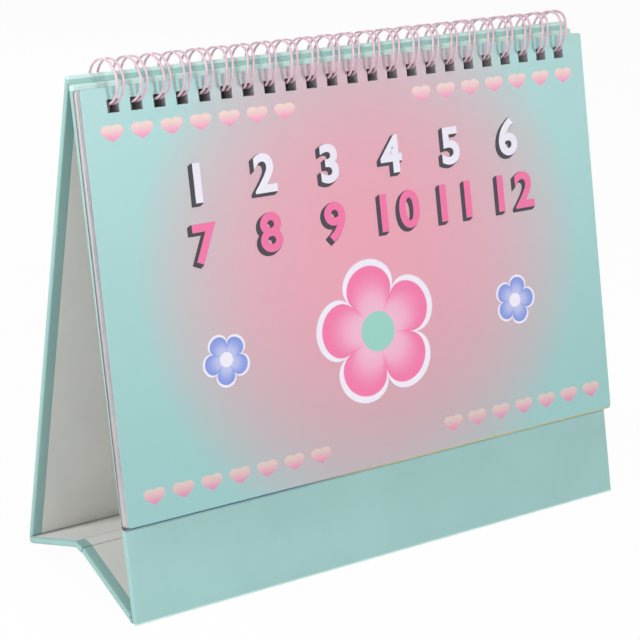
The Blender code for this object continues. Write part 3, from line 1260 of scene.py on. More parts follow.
class Finishes:
    """Every material of the object, made once.

    Attributes:
        papers: The plain papers and boards.
        wire: The coated wire.
        cover: The cover's print.
        first_month: The first month leaf's print, with a coloured strip.
        months: The prints of the month leaves, in turn.
        inks: The inks of the numbers.
        edges: The cut edges of the leaves.
        STRIP: The height of the first month leaf's strip.
        INK_SHADE: How light the clouds in an ink are, beside the ink.
        INK_ROUGHNESS: The roughness of the inks.
        INK_SCALE: How many grains of ink fit in a metre.
    """

    STRIP = 0.0012
    INK_SHADE = 0.96
    INK_ROUGHNESS = 0.45
    INK_SCALE = 3200.0

    def __init__(self) -> None:
        """Makes the materials."""
        leaf = Paper.LEAF.value
        self.papers = {paper: paper.value.make() for paper in Paper}
        self.wire = WireFinish("coated wire", srgb(229, 195, 208), srgb(217, 180, 196)).make()
        self.cover = CoverFinish(COVER_PAPER).make()
        self.first_month = MonthFinish(leaf, LeafTint.MINT, strip=self.STRIP).make()
        self.months = [MonthFinish(leaf, tint).make() for tint in LeafTint]
        self.inks = {ink: self.make_ink(ink) for ink in (Ink.WHITE, Ink.ROSE, Ink.CHARCOAL, Ink.SLATE)}
        self.edges = {tint: EdgeFinish(tint, leaf).make() for tint in EdgeTint}

    def of(self, *papers: Paper) -> list[Material]:
        """The materials of some papers, in the order given."""
        return [self.papers[paper] for paper in papers]

    def make_ink(self, ink: Ink) -> Material:
        """Makes the material of one ink.

        Args:
            ink: The ink.

        Returns:
            The material.
        """
        shade = tuple(level * self.INK_SHADE for level in ink.value)
        name = "ink " + ink.name.lower()
        return PaperFinish(name, ink.value, shade, self.INK_ROUGHNESS, self.INK_SCALE).make()


class WrapFace(Enum):
    """The material slots of a wrapped panel."""

    PAPER = 0
    PUNCHED = 1
    # Painted highlight: faces that take the paler wrap paper.
    WORN = 2
    LINED = 3


@dataclass
class Panel:
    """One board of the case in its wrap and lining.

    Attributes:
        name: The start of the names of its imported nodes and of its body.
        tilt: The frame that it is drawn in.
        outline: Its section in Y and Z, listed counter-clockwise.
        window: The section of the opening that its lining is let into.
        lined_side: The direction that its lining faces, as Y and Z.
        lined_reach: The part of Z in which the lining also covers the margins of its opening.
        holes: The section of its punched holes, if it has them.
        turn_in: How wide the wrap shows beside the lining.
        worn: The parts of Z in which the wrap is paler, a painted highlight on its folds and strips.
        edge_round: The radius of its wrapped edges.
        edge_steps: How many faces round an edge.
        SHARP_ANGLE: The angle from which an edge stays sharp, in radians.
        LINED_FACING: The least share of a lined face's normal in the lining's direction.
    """

    name: str
    tilt: Tilt
    outline: Outline
    window: Outline
    lined_side: Vector
    lined_reach: Span
    holes: Outline | None = None
    turn_in: float = TURN_IN
    worn: tuple[Span, ...] = ()
    edge_round: float = 0.0007
    edge_steps: int = 4
    SHARP_ANGLE = math.radians(40.0)
    LINED_FACING = 0.2

    @property
    def body(self) -> str:
        """The body that it rides on."""
        return self.name + "_panel"

    @property
    def window_half(self) -> float:
        """Half the width of the opening for the lining."""
        return HALF_WIDTH - self.turn_in + PAPER_GAP

    def build(self, finishes: Finishes) -> Piece:
        """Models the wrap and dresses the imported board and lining.

        Args:
            finishes: The object's materials.

        Returns:
            The wrap.
        """
        slots = finishes.of(Paper.WRAP, Paper.HOLE, Paper.FOLD, Paper.LINER)
        wrap = make_object(self.name + "_wrap_paper", self.draw_wrap(), slots, self.tilt)
        pocket_half = HALF_WIDTH - PAPER
        cutters = [
            make_cutter(inset(self.outline, PAPER), [(-pocket_half, pocket_half)], self.tilt),
            make_cutter(self.window, [(-self.window_half, self.window_half)], self.tilt),
        ]
        if self.holes:
            cutters.append(make_cutter(self.holes, hole_spans(), self.tilt))
        carve(wrap, cutters)
        discard(cutters)
        self.assign_faces(wrap)
        wrap.data.shade_smooth()
        wrap.data.set_sharp_from_angle(angle=self.SHARP_ANGLE)
        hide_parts(self.name + "_wrap")
        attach(wrap, self.body)
        dress_node(self.name + "_board", *finishes.of(Paper.BOARD))
        dress_node(self.name + "_liner", *finishes.of(Paper.LINER))
        return wrap

    def draw_wrap(self) -> Draft:
        """Draws the panel's outside with round folds, cut where the lining's opening ends.

        Returns:
            The mesh, in the panel's frame.
        """
        mesh = bmesh.new()
        draw_prism(mesh, self.outline, (-HALF_WIDTH, HALF_WIDTH))
        bmesh.ops.recalc_face_normals(mesh, faces=mesh.faces)
        round_edges(mesh, mesh.edges[:], self.edge_round, self.edge_steps)
        across = Vector((1, 0, 0))
        for end in (-self.window_half, self.window_half):
            slice_mesh(mesh, across * end, across)
        up = Vector((0, 0, 1))
        # Painted highlight: faces in these spans take the paler wrap paper.
        for low, high in self.worn:
            slice_mesh(mesh, up * low, up)
            slice_mesh(mesh, up * high, up)
            for face in mesh.faces:
                if low < face.calc_center_median().z < high:
                    face.material_index = WrapFace.WORN.value
        return mesh

    def assign_faces(self, wrap: Piece) -> None:
        """Gives the walls of the holes and the lined margins their own materials.

        Args:
            wrap: The carved wrap.
        """
        turn = self.tilt.matrix.to_3x3().inverted()
        reach_low, reach_high = self.lined_reach
        for face in wrap.data.polygons:
            facing = (turn @ face.normal).yz
            z = self.tilt.local(face.center).y
            inside = abs(face.center.x) < self.window_half
            lined = facing.dot(self.lined_side) > self.LINED_FACING and reach_low < z < reach_high
            # Painted shade: the hole walls take the greyer punched paper.
            if self.holes and inside and self.in_holes(z) and abs(facing.x) < MOSTLY:
                face.material_index = WrapFace.PUNCHED.value
            elif inside and lined:
                face.material_index = WrapFace.LINED.value

    def in_holes(self, z: float) -> bool:
        """Whether a place on Z lies in the row of holes or on its edges."""
        heights = [corner.y for corner in self.holes]
        return min(heights) - PAPER < z < max(heights) + PAPER


def slice_mesh(mesh: Draft, point: Vector, normal: Vector) -> None:
    """Cuts the faces of a mesh at a plane, and keeps both sides."""
    everything = mesh.verts[:] + mesh.edges[:] + mesh.faces[:]
    bmesh.ops.bisect_plane(mesh, geom=everything, plane_co=point, plane_no=normal)


def dress_node(node: str, finish: Material, front_finish: Material | None = None) -> None:
    """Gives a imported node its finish, with its shape as it is.

    Args:
        node: The node's name.
        finish: Its material.
        front_finish: The material of the faces that look to the front, if they have their own.
    """
    data = frame["nodes"][node].data
    data.materials.clear()
    data.materials.append(finish)
    if front_finish is None:
        return
    data.materials.append(front_finish)
    for face in data.polygons:
        face.material_index = 1 if face.normal.y < 0 else 0


@dataclass
class Case:
    """The folding case: four panels and the creases between them.

    Attributes:
        crease_gap: The space between a crease and the panels beside it.
        top_paper: The thickness of the paper in the top crease.
        top_gap: The space between the top crease and the panels under it.
        top_start: How far behind a round edge the top crease starts.
        top_reach: How far from the joint the top crease would bend; not used.
        worn_foot: How high up the front panel's foot the wrap is paler, as a painted highlight.
        worn_rim: How far down the back panel's top the wrap is paler, as a painted highlight.
        foot_fill: How much of the base's thickness the front crease fills.
        ridge_gap: The space between the ridge and the panels beside it.
        ridge_keep: How much of the ridge's width would be left when the stand is folded; not used.
        rear_round: The radius of the wrapped edges of the base's rear half.
    """

    crease_gap: float = 0.0001
    top_paper: float = 0.00012
    top_gap: float = 0.00005
    top_start: float = 0.0008
    top_reach: float = 0.0004
    worn_foot: float = 0.0008
    worn_rim: float = 0.0007
    foot_fill: float = 0.75
    ridge_gap: float = 0.00004
    ridge_keep: float = 0.08
    rear_round: float = 0.00085

    def panels(self) -> list[Panel]:
        """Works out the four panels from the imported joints.

        Returns:
            The panels, from the front one round the base to the back one.
        """
        return [self.front_panel(), self.base_front_panel(), self.base_rear_panel(), self.back_panel()]

    def front_panel(self) -> Panel:
        """Works out the front panel, cut level at its foot.

        Returns:
            The panel.
        """
        rise = PANEL_THICKNESS * math.tan(LEAN)
        lining_floor = PANEL_THICKNESS - PAPER - PAPER_GAP
        window_low = rise + LINING_MARGIN - PAPER_GAP
        return Panel(
            name="front",
            tilt=FRONT,
            outline=[
                Vector((0, 0)),
                Vector((PANEL_THICKNESS, rise)),
                Vector((PANEL_THICKNESS, FRONT_LENGTH)),
                Vector((0, FRONT_LENGTH)),
            ],
            window=block(
                (lining_floor, PANEL_THICKNESS + OVERRUN),
                (window_low, FRONT_LENGTH - TOP_TURN_IN + PAPER_GAP),
            ),
            lined_side=Vector((1, 0)),
            lined_reach=(0.0, window_low),
            # Painted highlight: paler wrap paper along the foot and on the strip above the leaves.
            worn=((-OVERRUN, self.worn_foot), (LEAF_TOP, FRONT_LENGTH + OVERRUN)),
            holes=block((-OVERRUN, PANEL_THICKNESS + OVERRUN), HOLE_ROWS),
        )

    def base_front_panel(self) -> Panel:
        """Works out the front half of the base.

        Returns:
            The panel.
        """
        margin = LINING_MARGIN - PAPER_GAP
        return Panel(
            name="base_front",
            tilt=BASE_FRONT,
            outline=block((CREASE_GAP, BASE_LENGTH), (-PANEL_THICKNESS, 0)),
            window=block(
                (CREASE_GAP + margin, BASE_LENGTH - margin), (-PAPER - PAPER_GAP, OVERRUN)
            ),
            lined_side=Vector((0, 1)),
            lined_reach=(-PANEL_THICKNESS / 2, PAPER),
        )

    def base_rear_panel(self) -> Panel:
        """Works out the rear half of the base, with the flat that it stands on.

        Returns:
            The panel.
        """
        margin = LINING_MARGIN - PAPER_GAP
        flat_start = FOOT_FLAT * math.cos(SLOPE) - FOOT_END
        return Panel(
            name="base_rear",
            tilt=BASE_REAR,
            outline=[
                Vector((-BASE_LENGTH, -PANEL_THICKNESS)),
                Vector((-flat_start, -PANEL_THICKNESS)),
                Vector((FOOT_END, -PANEL_THICKNESS + FOOT_FLAT * math.sin(SLOPE))),
                Vector((FOOT_END, 0)),
                Vector((-BASE_LENGTH, 0)),
            ],
            window=block((-BASE_LENGTH + margin, -margin), (-PAPER - PAPER_GAP, OVERRUN)),
            lined_side=Vector((0, 1)),
            lined_reach=(-PANEL_THICKNESS / 2, PAPER),
            turn_in=REAR_TURN_IN,
            edge_round=self.rear_round,
        )

    def back_panel(self) -> Panel:
        """Works out the back panel, whose foot is cut to lie on the base.

        Returns:
            The panel.
        """
        base_face = Vector((math.sin(SLOPE), math.cos(SLOPE)))
        turn = Matrix.Rotation(-LEAN, 2)
        foot_point = BACK.local(BASE_REAR.point(0.0, CREASE_GAP))
        foot_normal = turn @ base_face
        across = Vector((1, 0))
        inner = meeting(Vector((BACK_INNER, 0)), across, foot_point, foot_normal)
        outer = meeting(Vector((BACK_OUTER, 0)), across, foot_point, foot_normal)
        drop = BindingWire.oval().back_drop()
        window_low = inner.y + LINING_MARGIN - PAPER_GAP
        return Panel(
            name="back",
            tilt=BACK,
            outline=[inner, outer, Vector((BACK_OUTER, BACK_RISE)), Vector((BACK_INNER, BACK_RISE))],
            window=block(
                (BACK_INNER - OVERRUN, BACK_INNER + PAPER + PAPER_GAP),
                (window_low, BACK_RISE - TOP_TURN_IN + PAPER_GAP),
            ),
            lined_side=Vector((-1, 0)),
            lined_reach=(inner.y - OVERRUN, window_low),
            # Painted highlight: paler wrap paper along the top rim.
            worn=((BACK_RISE - self.worn_rim, BACK_RISE + OVERRUN),),
            holes=block(
                (BACK_INNER - OVERRUN, BACK_OUTER + OVERRUN),
                (-drop - BACK_HOLE_HEIGHT / 2, -drop + BACK_HOLE_HEIGHT / 2),
            ),
        )

    def place_crease(self, crease: Piece, node: str) -> None:
        """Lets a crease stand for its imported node.

        Args:
            crease: The crease.
            node: The node's name.
        """
        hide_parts(node)
        LOG.info("crease %s", crease.name)

    def build_ridge(self, finishes: Finishes) -> None:
        """Models the creased ridge of the base: wrap paper below and at its ends, lining on top.

        Args:
            finishes: The object's materials.
        """
        corners = [
            BASE_FRONT.point(BASE_LENGTH, -PANEL_THICKNESS),
            BASE_REAR.point(-BASE_LENGTH, -PANEL_THICKNESS),
            BASE_REAR.point(-BASE_LENGTH, 0.0),
            BASE_FRONT.point(BASE_LENGTH, 0.0),
        ]
        mesh = bmesh.new()
        section = inset([corner.yz for corner in corners], self.ridge_gap)
        draw_prism(mesh, section, (-HALF_WIDTH, HALF_WIDTH))
        for end in (TURN_IN - HALF_WIDTH, HALF_WIDTH - TURN_IN):
            slice_mesh(mesh, Vector((end, 0, 0)), Vector((1, 0, 0)))
        bmesh.ops.recalc_face_normals(mesh, faces=mesh.faces)
        for face in mesh.faces:
            spot = face.calc_center_median()
            below = face.normal.z < -MOSTLY
            lined = not below and abs(spot.x) < HALF_WIDTH - TURN_IN
            face.material_index = 1 if lined else 0
        ridge = make_object("base_ridge_paper", mesh, finishes.of(Paper.WRAP, Paper.LINER))
        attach(ridge, "base_front_panel")
        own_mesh(ridge)
        self.place_crease(ridge, "base_ridge_hinge")

    def build_apex(self, finishes: Finishes) -> None:
        """Models the paper over the front panel's top edge and up the back panel's inner face.

        Args:
            finishes: The object's materials.
        """
        front_up = Vector((math.sin(LEAN), math.cos(LEAN)))
        back_in = Vector((-math.cos(LEAN), -math.sin(LEAN)))
        back_top = BACK.point(BACK_INNER, BACK_RISE - self.top_start).yz
        front_edge = FRONT.point(self.top_start, FRONT_LENGTH).yz

        def corner(gap: float) -> Vector:
            """Where the two legs of the crease meet, at a gap from the boards."""
            return meeting(front_edge + front_up * gap, front_up, back_top + back_in * gap, back_in)

        outer = self.top_gap + self.top_paper
        mesh = bmesh.new()
        draw_prism(
            mesh,
            [
                front_edge + front_up * self.top_gap,
                corner(self.top_gap),
                back_top + back_in * self.top_gap,
                back_top + back_in * outer,
                corner(outer),
                front_edge + front_up * outer,
            ],
            (-HALF_WIDTH + self.crease_gap, HALF_WIDTH - self.crease_gap),
        )
        # Painted highlight: the top crease takes a paler wrap paper.
        crease = make_object("top_crease_paper", mesh, finishes.of(Paper.CREASE))
        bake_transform(crease)
        self.place_crease(crease, "top_hinge")

    def build_front_foot(self, finishes: Finishes) -> None:
        """Models the fold between the front panel and the base, which fills the angle between them.

        Args:
            finishes: The object's materials.
        """
        gap = self.crease_gap
        inner = FRONT.point(PANEL_THICKNESS + gap, PANEL_THICKNESS * math.tan(LEAN)).yz
        toe = BASE_FRONT.point(CREASE_GAP - gap, -PANEL_THICKNESS).yz
        fill = self.foot_fill * PANEL_THICKNESS
        mesh = bmesh.new()
        draw_prism(
            mesh,
            [
                Vector((inner.x, gap)),
                Vector((toe.x, gap)),
                BASE_FRONT.point(CREASE_GAP - gap, fill - PANEL_THICKNESS).yz,
                FRONT.point(PANEL_THICKNESS + gap, fill).yz,
            ],
            (-HALF_WIDTH + gap, HALF_WIDTH - gap),
        )
        crease = make_object("front_foot_paper", mesh, finishes.of(Paper.WRAP))
        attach(crease, "front_panel")
        self.place_crease(crease, "front_foot_hinge")

    def build(self, finishes: Finishes) -> None:
        """Builds the panels and the creases.

        Args:
            finishes: The object's materials.
        """
        for panel in self.panels():
            LOG.info("panel %s", panel.build(finishes).name)
        self.build_ridge(finishes)
        self.build_apex(finishes)
        self.build_front_foot(finishes)
        dress_node("rear_foot_hinge", *finishes.of(Paper.WRAP, Paper.LINER))


@dataclass(frozen=True)
class Oval:
    """The oval of the wire's loops, in the front panel's frame.

    Attributes:
        centre: Its middle, as Y and Z.
        depth: Half its size along Y.
        height: Half its size along Z.
    """

    centre: Vector
    depth: float
    height: float

    def point(self, angle: float) -> Vector:
        """A point of the oval. Zero is the front, and a quarter turn is the top."""
        return self.centre + Vector((-math.cos(angle) * self.depth, math.sin(angle) * self.height))

    def back_drop(self) -> float:
        """Finds where the loops pass through the back panel's middle.

        Returns:
            How far that is below the apex.
        """
        start = FRONT.local(BACK.point(BACK_INNER + PANEL_THICKNESS / 2, 0.0))
        down = Matrix.Rotation(2 * LEAN, 2) @ Vector((0, -1))
        scale = Vector((1 / self.depth, 1 / self.height))
        origin = (start - self.centre) * scale
        slope = down * scale
        a = slope.length_squared
        b = origin.dot(slope)
        return (-b + math.sqrt(b * b - a * (origin.length_squared - 1))) / a


@dataclass
class BindingWire:
    """One coated wire, bent into pairs of loops.

    Attributes:
        radius: Half the wire's thickness.
        steps: Points along one loop.
        bend_steps: Points round one bend.
        link_angle: Where the links between loops are, round the oval.
        tip_angle: Where the tips of the loops are, round the oval.
        link_half_width: Half the space between a pair of wires at the links.
        tip_half_width: Half that space at the tips.
        link_depth: How far a link bows out.
        leans: How far the fronts of the loops lean to the right, each from its first loop on.
        lean_angle: Where a loop leans most, round the oval.
        lean_below: How far round the oval the lean reaches below that.
        lean_above: How far it reaches above that.
        foot_lift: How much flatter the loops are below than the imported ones.
        play: How far a loop may lean from its place.
        seed: The seed of the loops' small differences.
        ROUND_STEPS: How finely the wire's section is rounded.
        FRONT_REACH: How far the loops stand out before the stack.
        REAR_REACH: How far they stand out behind the back panel's top.
        TOP_REACH: How far they rise above it.
    """

    radius: float = 0.00043
    steps: int = 40
    bend_steps: int = 9
    link_angle: float = math.radians(165.0)
    tip_angle: float = math.radians(-172.0)
    link_half_width: float = 0.0015
    tip_half_width: float = 0.00075
    link_depth: float = 0.0012
    leans: tuple[tuple[int, float], ...] = ((0, 0.0), (3, -0.0012), (5, -0.0023), (17, -0.003))
    lean_angle: float = math.radians(-20.0)
    lean_below: float = math.radians(76.0)
    lean_above: float = math.radians(94.0)
    foot_lift: float = 0.0006
    play: float = 0.00025
    seed: int = 5
    ROUND_STEPS = 3
    FRONT_REACH = 0.0068
    REAR_REACH = 0.0029
    TOP_REACH = 0.004

    @classmethod
    def oval(cls) -> Oval:
        """Works out the oval from the stack, the holes and the back panel's top.

        Returns:
            The oval.
        """
        top = FRONT.local(BACK.point(BACK_OUTER, BACK_RISE))
        front = -STACK_FRONT - cls.FRONT_REACH
        rear = top.x + cls.REAR_REACH
        low = sum(HOLE_ROWS) / 2
        high = top.y + cls.TOP_REACH
        centre = Vector(((front + rear) / 2, (low + high) / 2))
        return Oval(centre, (rear - front) / 2, (high - low) / 2)

    def half_width(self, share: float) -> float:
        """Half the space between a pair, from the link, 0, to the tip, 1."""
        return self.link_half_width + (self.tip_half_width - self.link_half_width) * share

    def path(self) -> list[Vector]:
        """Follows the whole wire from its first end to its last.

        Returns:
            Points on the wire's centre line, in the whole object.
        """
        oval = self.oval()
        dice = random.Random(self.seed)
        shares = [step / (self.steps - 1) for step in range(self.steps)]
        bends = [math.pi * (step + 1) / (self.bend_steps + 1) for step in range(self.bend_steps)]
        points: list[Vector] = []

        def add(x: float, angle: float) -> None:
            """Adds one point of the wire.

            Args:
                x: Its place on X.
                angle: Its place round the oval.
            """
            spot = oval.point(angle)
            lift = max(0.0, -math.sin(angle)) * self.foot_lift
            points.append(FRONT.point(spot.x, spot.y + lift, x))

        for index, middle in enumerate(hole_places()):
            lean = self.lean_of(index) + dice.uniform(-self.play, self.play)
            for share in shares:
                angle = self.angle_at(share)
                add(middle + lean * self.lean_share(angle) - self.half_width(share), angle)
            for bend in bends:
                past = self.tip_half_width * math.sin(bend) / oval.depth
                add(middle - self.tip_half_width * math.cos(bend), self.tip_angle - past)
            for share in reversed(shares):
                angle = self.angle_at(share)
                add(middle + lean * self.lean_share(angle) + self.half_width(share), angle)
            if index == HOLE_COUNT - 1:
                continue
            half_link = HOLE_PITCH / 2 - self.link_half_width
            for bend in bends:
                past = self.link_depth * math.sin(bend) / oval.depth
                add(middle + HOLE_PITCH / 2 - half_link * math.cos(bend), self.link_angle + past)
        return points

    def lean_of(self, index: int) -> float:
        """How far the front of a loop leans to the right."""
        return [lean for first, lean in self.leans if index >= first][-1]

    def lean_share(self, angle: float) -> float:
        """Works out how much of a loop's lean shows.

        Args:
            angle: The place round the oval.

        Returns:
            The share, from 0 to 1.
        """
        away = angle - self.lean_angle
        reach = self.lean_above if away > 0 else self.lean_below
        return math.cos(math.pi / 2 * min(1.0, abs(away) / reach)) ** 2

    def angle_at(self, share: float) -> float:
        """The angle round the oval, from the link, 0, to the tip, 1."""
        return self.link_angle + (self.tip_angle - self.link_angle) * share

    def build(self, finishes: Finishes) -> Piece:
        """Sweeps the wire along its path.

        Args:
            finishes: The object's materials.

        Returns:
            The wire.
        """
        curve = bpy.data.curves.new("binding_wire_coated", "CURVE")
        curve.dimensions = "3D"
        curve.bevel_depth = self.radius
        curve.bevel_resolution = self.ROUND_STEPS
        curve.use_fill_caps = True
        points = self.path()
        spline = curve.splines.new("POLY")
        spline.points.add(len(points) - 1)
        for spot, target in zip(spline.points, points):
            spot.co = (*target, 1.0)
        data = curve_mesh(curve)
        data.shade_smooth()
        data.materials.clear()
        data.materials.append(finishes.wire)
        wire = bpy.data.objects.new("binding_wire_coated", data)
        bpy.context.scene.collection.objects.link(wire)
        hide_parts("binding_wire")
        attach(wire, "front_panel")
        LOG.info("wire %s, %d points", wire.name, len(points))
        return wire


class Digits:
    """Plain digits as thin meshes of ink, drawn once for each weight.

    Attributes:
        CAP_HEIGHT: The height of a digit of size 1.
        SPACE: From digit to digit at size 1.
    """

    CAP_HEIGHT = 0.73
    SPACE = 0.62

    def __init__(self, offset: float, ink_height: float, resolution: int) -> None:
        """Draws the ten digits.

        Args:
            offset: How much thicker than the plain letterform the strokes are.
            ink_height: How far the ink stands on the paper.
            resolution: How many steps a curve of a digit has.
        """
        self.ink_height = ink_height
        self.meshes: dict[str, bpy.types.Mesh] = {}
        for digit in "0123456789":
            curve = bpy.data.curves.new("digit", "FONT")
            curve.body = digit
            curve.align_x = "CENTER"
            curve.size = 1.0
            curve.offset = offset
            curve.resolution_u = resolution
            self.meshes[digit] = curve_mesh(curve)
            self.meshes[digit].shade_flat()

    def write(self, mesh: Draft, number: int, height: float, u: float, v: float, lift: float) -> None:
        """Writes a number on a leaf.

        Args:
            mesh: The mesh that takes the digits, in the front panel's frame.
            number: The number.
            height: The height of its digits.
            u: The number's middle, from the leaf's middle to the right.
            v: The number's foot, from the leaf's top edge down.
            lift: How far before the front panel the ink lies.
        """
        text = str(number)
        size = height / self.CAP_HEIGHT
        for place, digit in enumerate(text):
            step = (place - (len(text) - 1) / 2) * self.SPACE * size
            verts_before = len(mesh.verts)
            faces_before = len(mesh.faces)
            mesh.from_mesh(self.meshes[digit])
            mesh.verts.ensure_lookup_table()
            mesh.faces.ensure_lookup_table()
            own = mesh.verts[verts_before:]
            faces = mesh.faces[faces_before:]
            bmesh.ops.scale(mesh, vec=(size, size, size), verts=own)
            bmesh.ops.rotate(mesh, matrix=Matrix.Rotation(math.pi / 2, 3, "X"), verts=own)
            bmesh.ops.translate(mesh, vec=(u + step, -lift, LEAF_TOP - v), verts=own)
            push_faces(mesh, faces, Vector((0, -self.ink_height, 0)))


class LeafFace(Enum):
    """The material slots of a leaf."""

    FRONT = 0
    BACK = 1
    EDGE = 2
    PUNCHED = 3


@dataclass
class LeafStack:
    """The cover, the month leaves and the backing card.

    Attributes:
        corner: The radius of a leaf's corners.
        corner_steps: How many faces round a corner.
        stagger: How far a leaf may lie out of line.
        splay: How far the backing card lies to the left of the cover.
        slant: How far the leaves' sides run to the left, for each length down.
        skew: How far the backing card hangs out of the upright, in radians.
        play: How far a leaf may hang out of its own upright, in radians.
        overhang: How far the first month leaf hangs below the cover.
        seed: The seed of the leaves' small differences.
        EDGE_ORDER: The tints of the month leaves' edges from the front, each with its count of leaves.
    """

    corner: float = 0.001
    corner_steps: int = 4
    stagger: float = 0.0001
    splay: float = 0.0005
    slant: float = 0.008
    skew: float = math.radians(-0.1)
    play: float = math.radians(0.03)
    overhang: float = 0.0005
    seed: int = 3
    EDGE_ORDER = ((EdgeTint.BLUE, 6), (EdgeTint.WHITE, 3), (EdgeTint.SLATE, 3))

    def edge_tint(self, month: int) -> EdgeTint:
        """The tint of a month leaf's edge, counted from the front."""
        tints = [tint for tint, count in self.EDGE_ORDER for _ in range(count)]
        return tints[month - 1]

    def draw_leaf(self, index: int, height: float, half: float) -> Draft:
        """Draws one leaf with round corners, a little out of line.

        Args:
            index: Its place in the stack, from the front.
            height: Its height.
            half: Half its width.

        Returns:
            The mesh, in the front panel's frame.
        """
        dice = random.Random(self.seed + index)
        depth = index / (MONTHS + 1)
        shift = self.splay * (0.5 - depth) + dice.uniform(-self.stagger, self.stagger)
        lift = STACK_FRONT - index * LEAF_PITCH
        mesh = bmesh.new()
        draw_prism(
            mesh,
            block((-lift, -lift + LEAF_THICKNESS), (LEAF_TOP - height, LEAF_TOP)),
            (-half + shift, half + shift),
        )
        corners = [
            edge
            for edge in mesh.edges
            if abs(edge.verts[0].co.y - edge.verts[1].co.y) > LEAF_THICKNESS / 2
        ]
        round_edges(mesh, corners, self.corner, self.corner_steps)
        hang = self.skew * depth + dice.uniform(-self.play, self.play)
        pivot = Vector((0, 0, sum(HOLE_ROWS) / 2))
        bmesh.ops.rotate(mesh, cent=pivot, matrix=Matrix.Rotation(hang, 3, "Y"), verts=mesh.verts)
        slanted = Matrix.Identity(4)
        slanted[0][2] = self.slant
        place = Matrix.Translation(pivot)
        bmesh.ops.transform(mesh, matrix=place @ slanted @ place.inverted(), verts=mesh.verts)
        return mesh

    def build_leaf(
        self, node: str, index: int, finishes: list[Material], punch: Piece, overhang: float = 0.0
    ) -> None:
        """Models one leaf and punches its holes.

        Args:
            node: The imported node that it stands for.
            index: Its place in the stack, from the front.
            finishes: The materials of its front, its back, its cut edge and its holes.
            punch: The cutter of the holes.
            overhang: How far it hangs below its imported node.
        """
        low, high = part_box(node)
        height = (high.z - low.z - LEAF_THICKNESS * math.sin(LEAN)) / math.cos(LEAN) + overhang
        leaf = make_object(node + "_printed", self.draw_leaf(index, height, high.x), finishes, FRONT)
        carve(leaf, [punch])
        self.assign_faces(leaf, high.x)
        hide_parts(node)
        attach(leaf, node + "_leaf")
        LOG.info("leaf %s", leaf.name)

    def assign_faces(self, leaf: Piece, half: float) -> None:
        """Gives front, back, cut edge and holes their own materials.

        Args:
            leaf: The punched leaf.
            half: Half its width.
        """
        facing = FRONT.matrix.to_3x3() @ Vector((0, -1, 0))
        hole_low, hole_high = HOLE_ROWS
        for face in leaf.data.polygons:
            ahead = face.normal.dot(facing)
            z = FRONT.local(face.center).y
            in_row = hole_low - OVERRUN < z < hole_high + OVERRUN
            if ahead > MOSTLY:
                side = LeafFace.FRONT
            elif ahead < -MOSTLY:
                side = LeafFace.BACK
            # Painted shade: the hole walls take the greyer punched paper.
            elif in_row and abs(face.center.x) < half - HOLE_SIZE:
                side = LeafFace.PUNCHED
            else:
                side = LeafFace.EDGE
            face.material_index = side.value

    def build(self, finishes: Finishes) -> None:
        """Builds the leaves from the cover to the backing card.

        Args:
            finishes: The object's materials.
        """
        punch = make_cutter(block((-STACK_FRONT - OVERRUN, OVERRUN), HOLE_ROWS), hole_spans(), FRONT)
        edges = finishes.edges
        leaf, hole, kraft, face = finishes.of(Paper.LEAF, Paper.HOLE, Paper.KRAFT, Paper.CARD_FACE)
        cover = [finishes.cover, leaf, edges[EdgeTint.PALE], hole]
        self.build_leaf("cover_sheet", 0, cover, punch)
        for month in range(1, MONTHS + 1):
            front = finishes.months[(month - 1) % len(finishes.months)]
            overhang = 0.0
            if month == 1:
                front = finishes.first_month
                overhang = self.overhang
            dress = [front, leaf, edges[self.edge_tint(month)], hole]
            self.build_leaf(f"month_sheet_{month:02d}", month, dress, punch, overhang)
        backing = [face, kraft, edges[EdgeTint.PALE], hole]
        self.build_leaf("backing_sheet", MONTHS + 1, backing, punch)
        discard([punch])


@dataclass
class CoverNumbers:
    """Plain month numbers on the cover, in two rows with block shadows.

    Attributes:
        height: The height of the digits.
        spread: From number to number.
        rows: The foot of each row, from the leaf's top edge down, and its ink.
        shadow_shift: How far the shadow lies to the left of its number.
        shadow_drop: How far the shadow lies below its number.
        shadow_steps: How many copies make the block of the shadow.
        face_weight: How much the strokes of a number are thickened.
        shadow_weight: How much the strokes of its shadow are thickened.
        ink_height: The thickness of the ink.
        resolution: How many steps a curve of a digit has.
    """

    height: float = 0.013
    spread: float = 0.0262
    rows: tuple[tuple[float, Ink], ...] = ((0.0405, Ink.WHITE), (0.0605, Ink.ROSE))
    shadow_shift: float = 0.0015
    shadow_drop: float = 0.0009
    shadow_steps: int = 3
    face_weight: float = 0.03
    shadow_weight: float = 0.045
    ink_height: float = 0.00003
    resolution: int = 5

    def build(self, finishes: Finishes) -> None:
        """Prints the shadows and the numbers.

        Args:
            finishes: The object's materials.
        """
        heavy = Digits(self.shadow_weight, self.ink_height, self.resolution)
        bold = Digits(self.face_weight, self.ink_height, self.resolution)
        shadow = bmesh.new()
        level = STACK_FRONT + self.ink_height
        per_row = MONTHS // len(self.rows)
        for row, (foot, ink) in enumerate(self.rows):
            face = bmesh.new()
            for column in range(per_row):
                number = row * per_row + column + 1
                u = (column - (per_row - 1) / 2) * self.spread
                for step in range(1, self.shadow_steps + 1):
                    share = step / self.shadow_steps
                    lift = level + share * self.ink_height / 2
                    place = (u - share * self.shadow_shift, foot + share * self.shadow_drop)
                    heavy.write(shadow, number, self.height, *place, lift)
                bold.write(face, number, self.height, u, foot, level + 2 * self.ink_height)
            self.place("cover_numbers_" + ink.name.lower(), face, finishes.inks[ink])
        self.place("cover_number_shadows", shadow, finishes.inks[Ink.CHARCOAL])

    def place(self, name: str, mesh: Draft, ink: Material) -> None:
        """Puts printed numbers on the cover.

        Args:
            name: The piece's name.
            mesh: The numbers, in the front panel's frame.
            ink: Their material.
        """
        printed = make_object(name, mesh, [ink], FRONT)
        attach(printed, "cover_sheet_leaf")
        LOG.info("print %s", name)


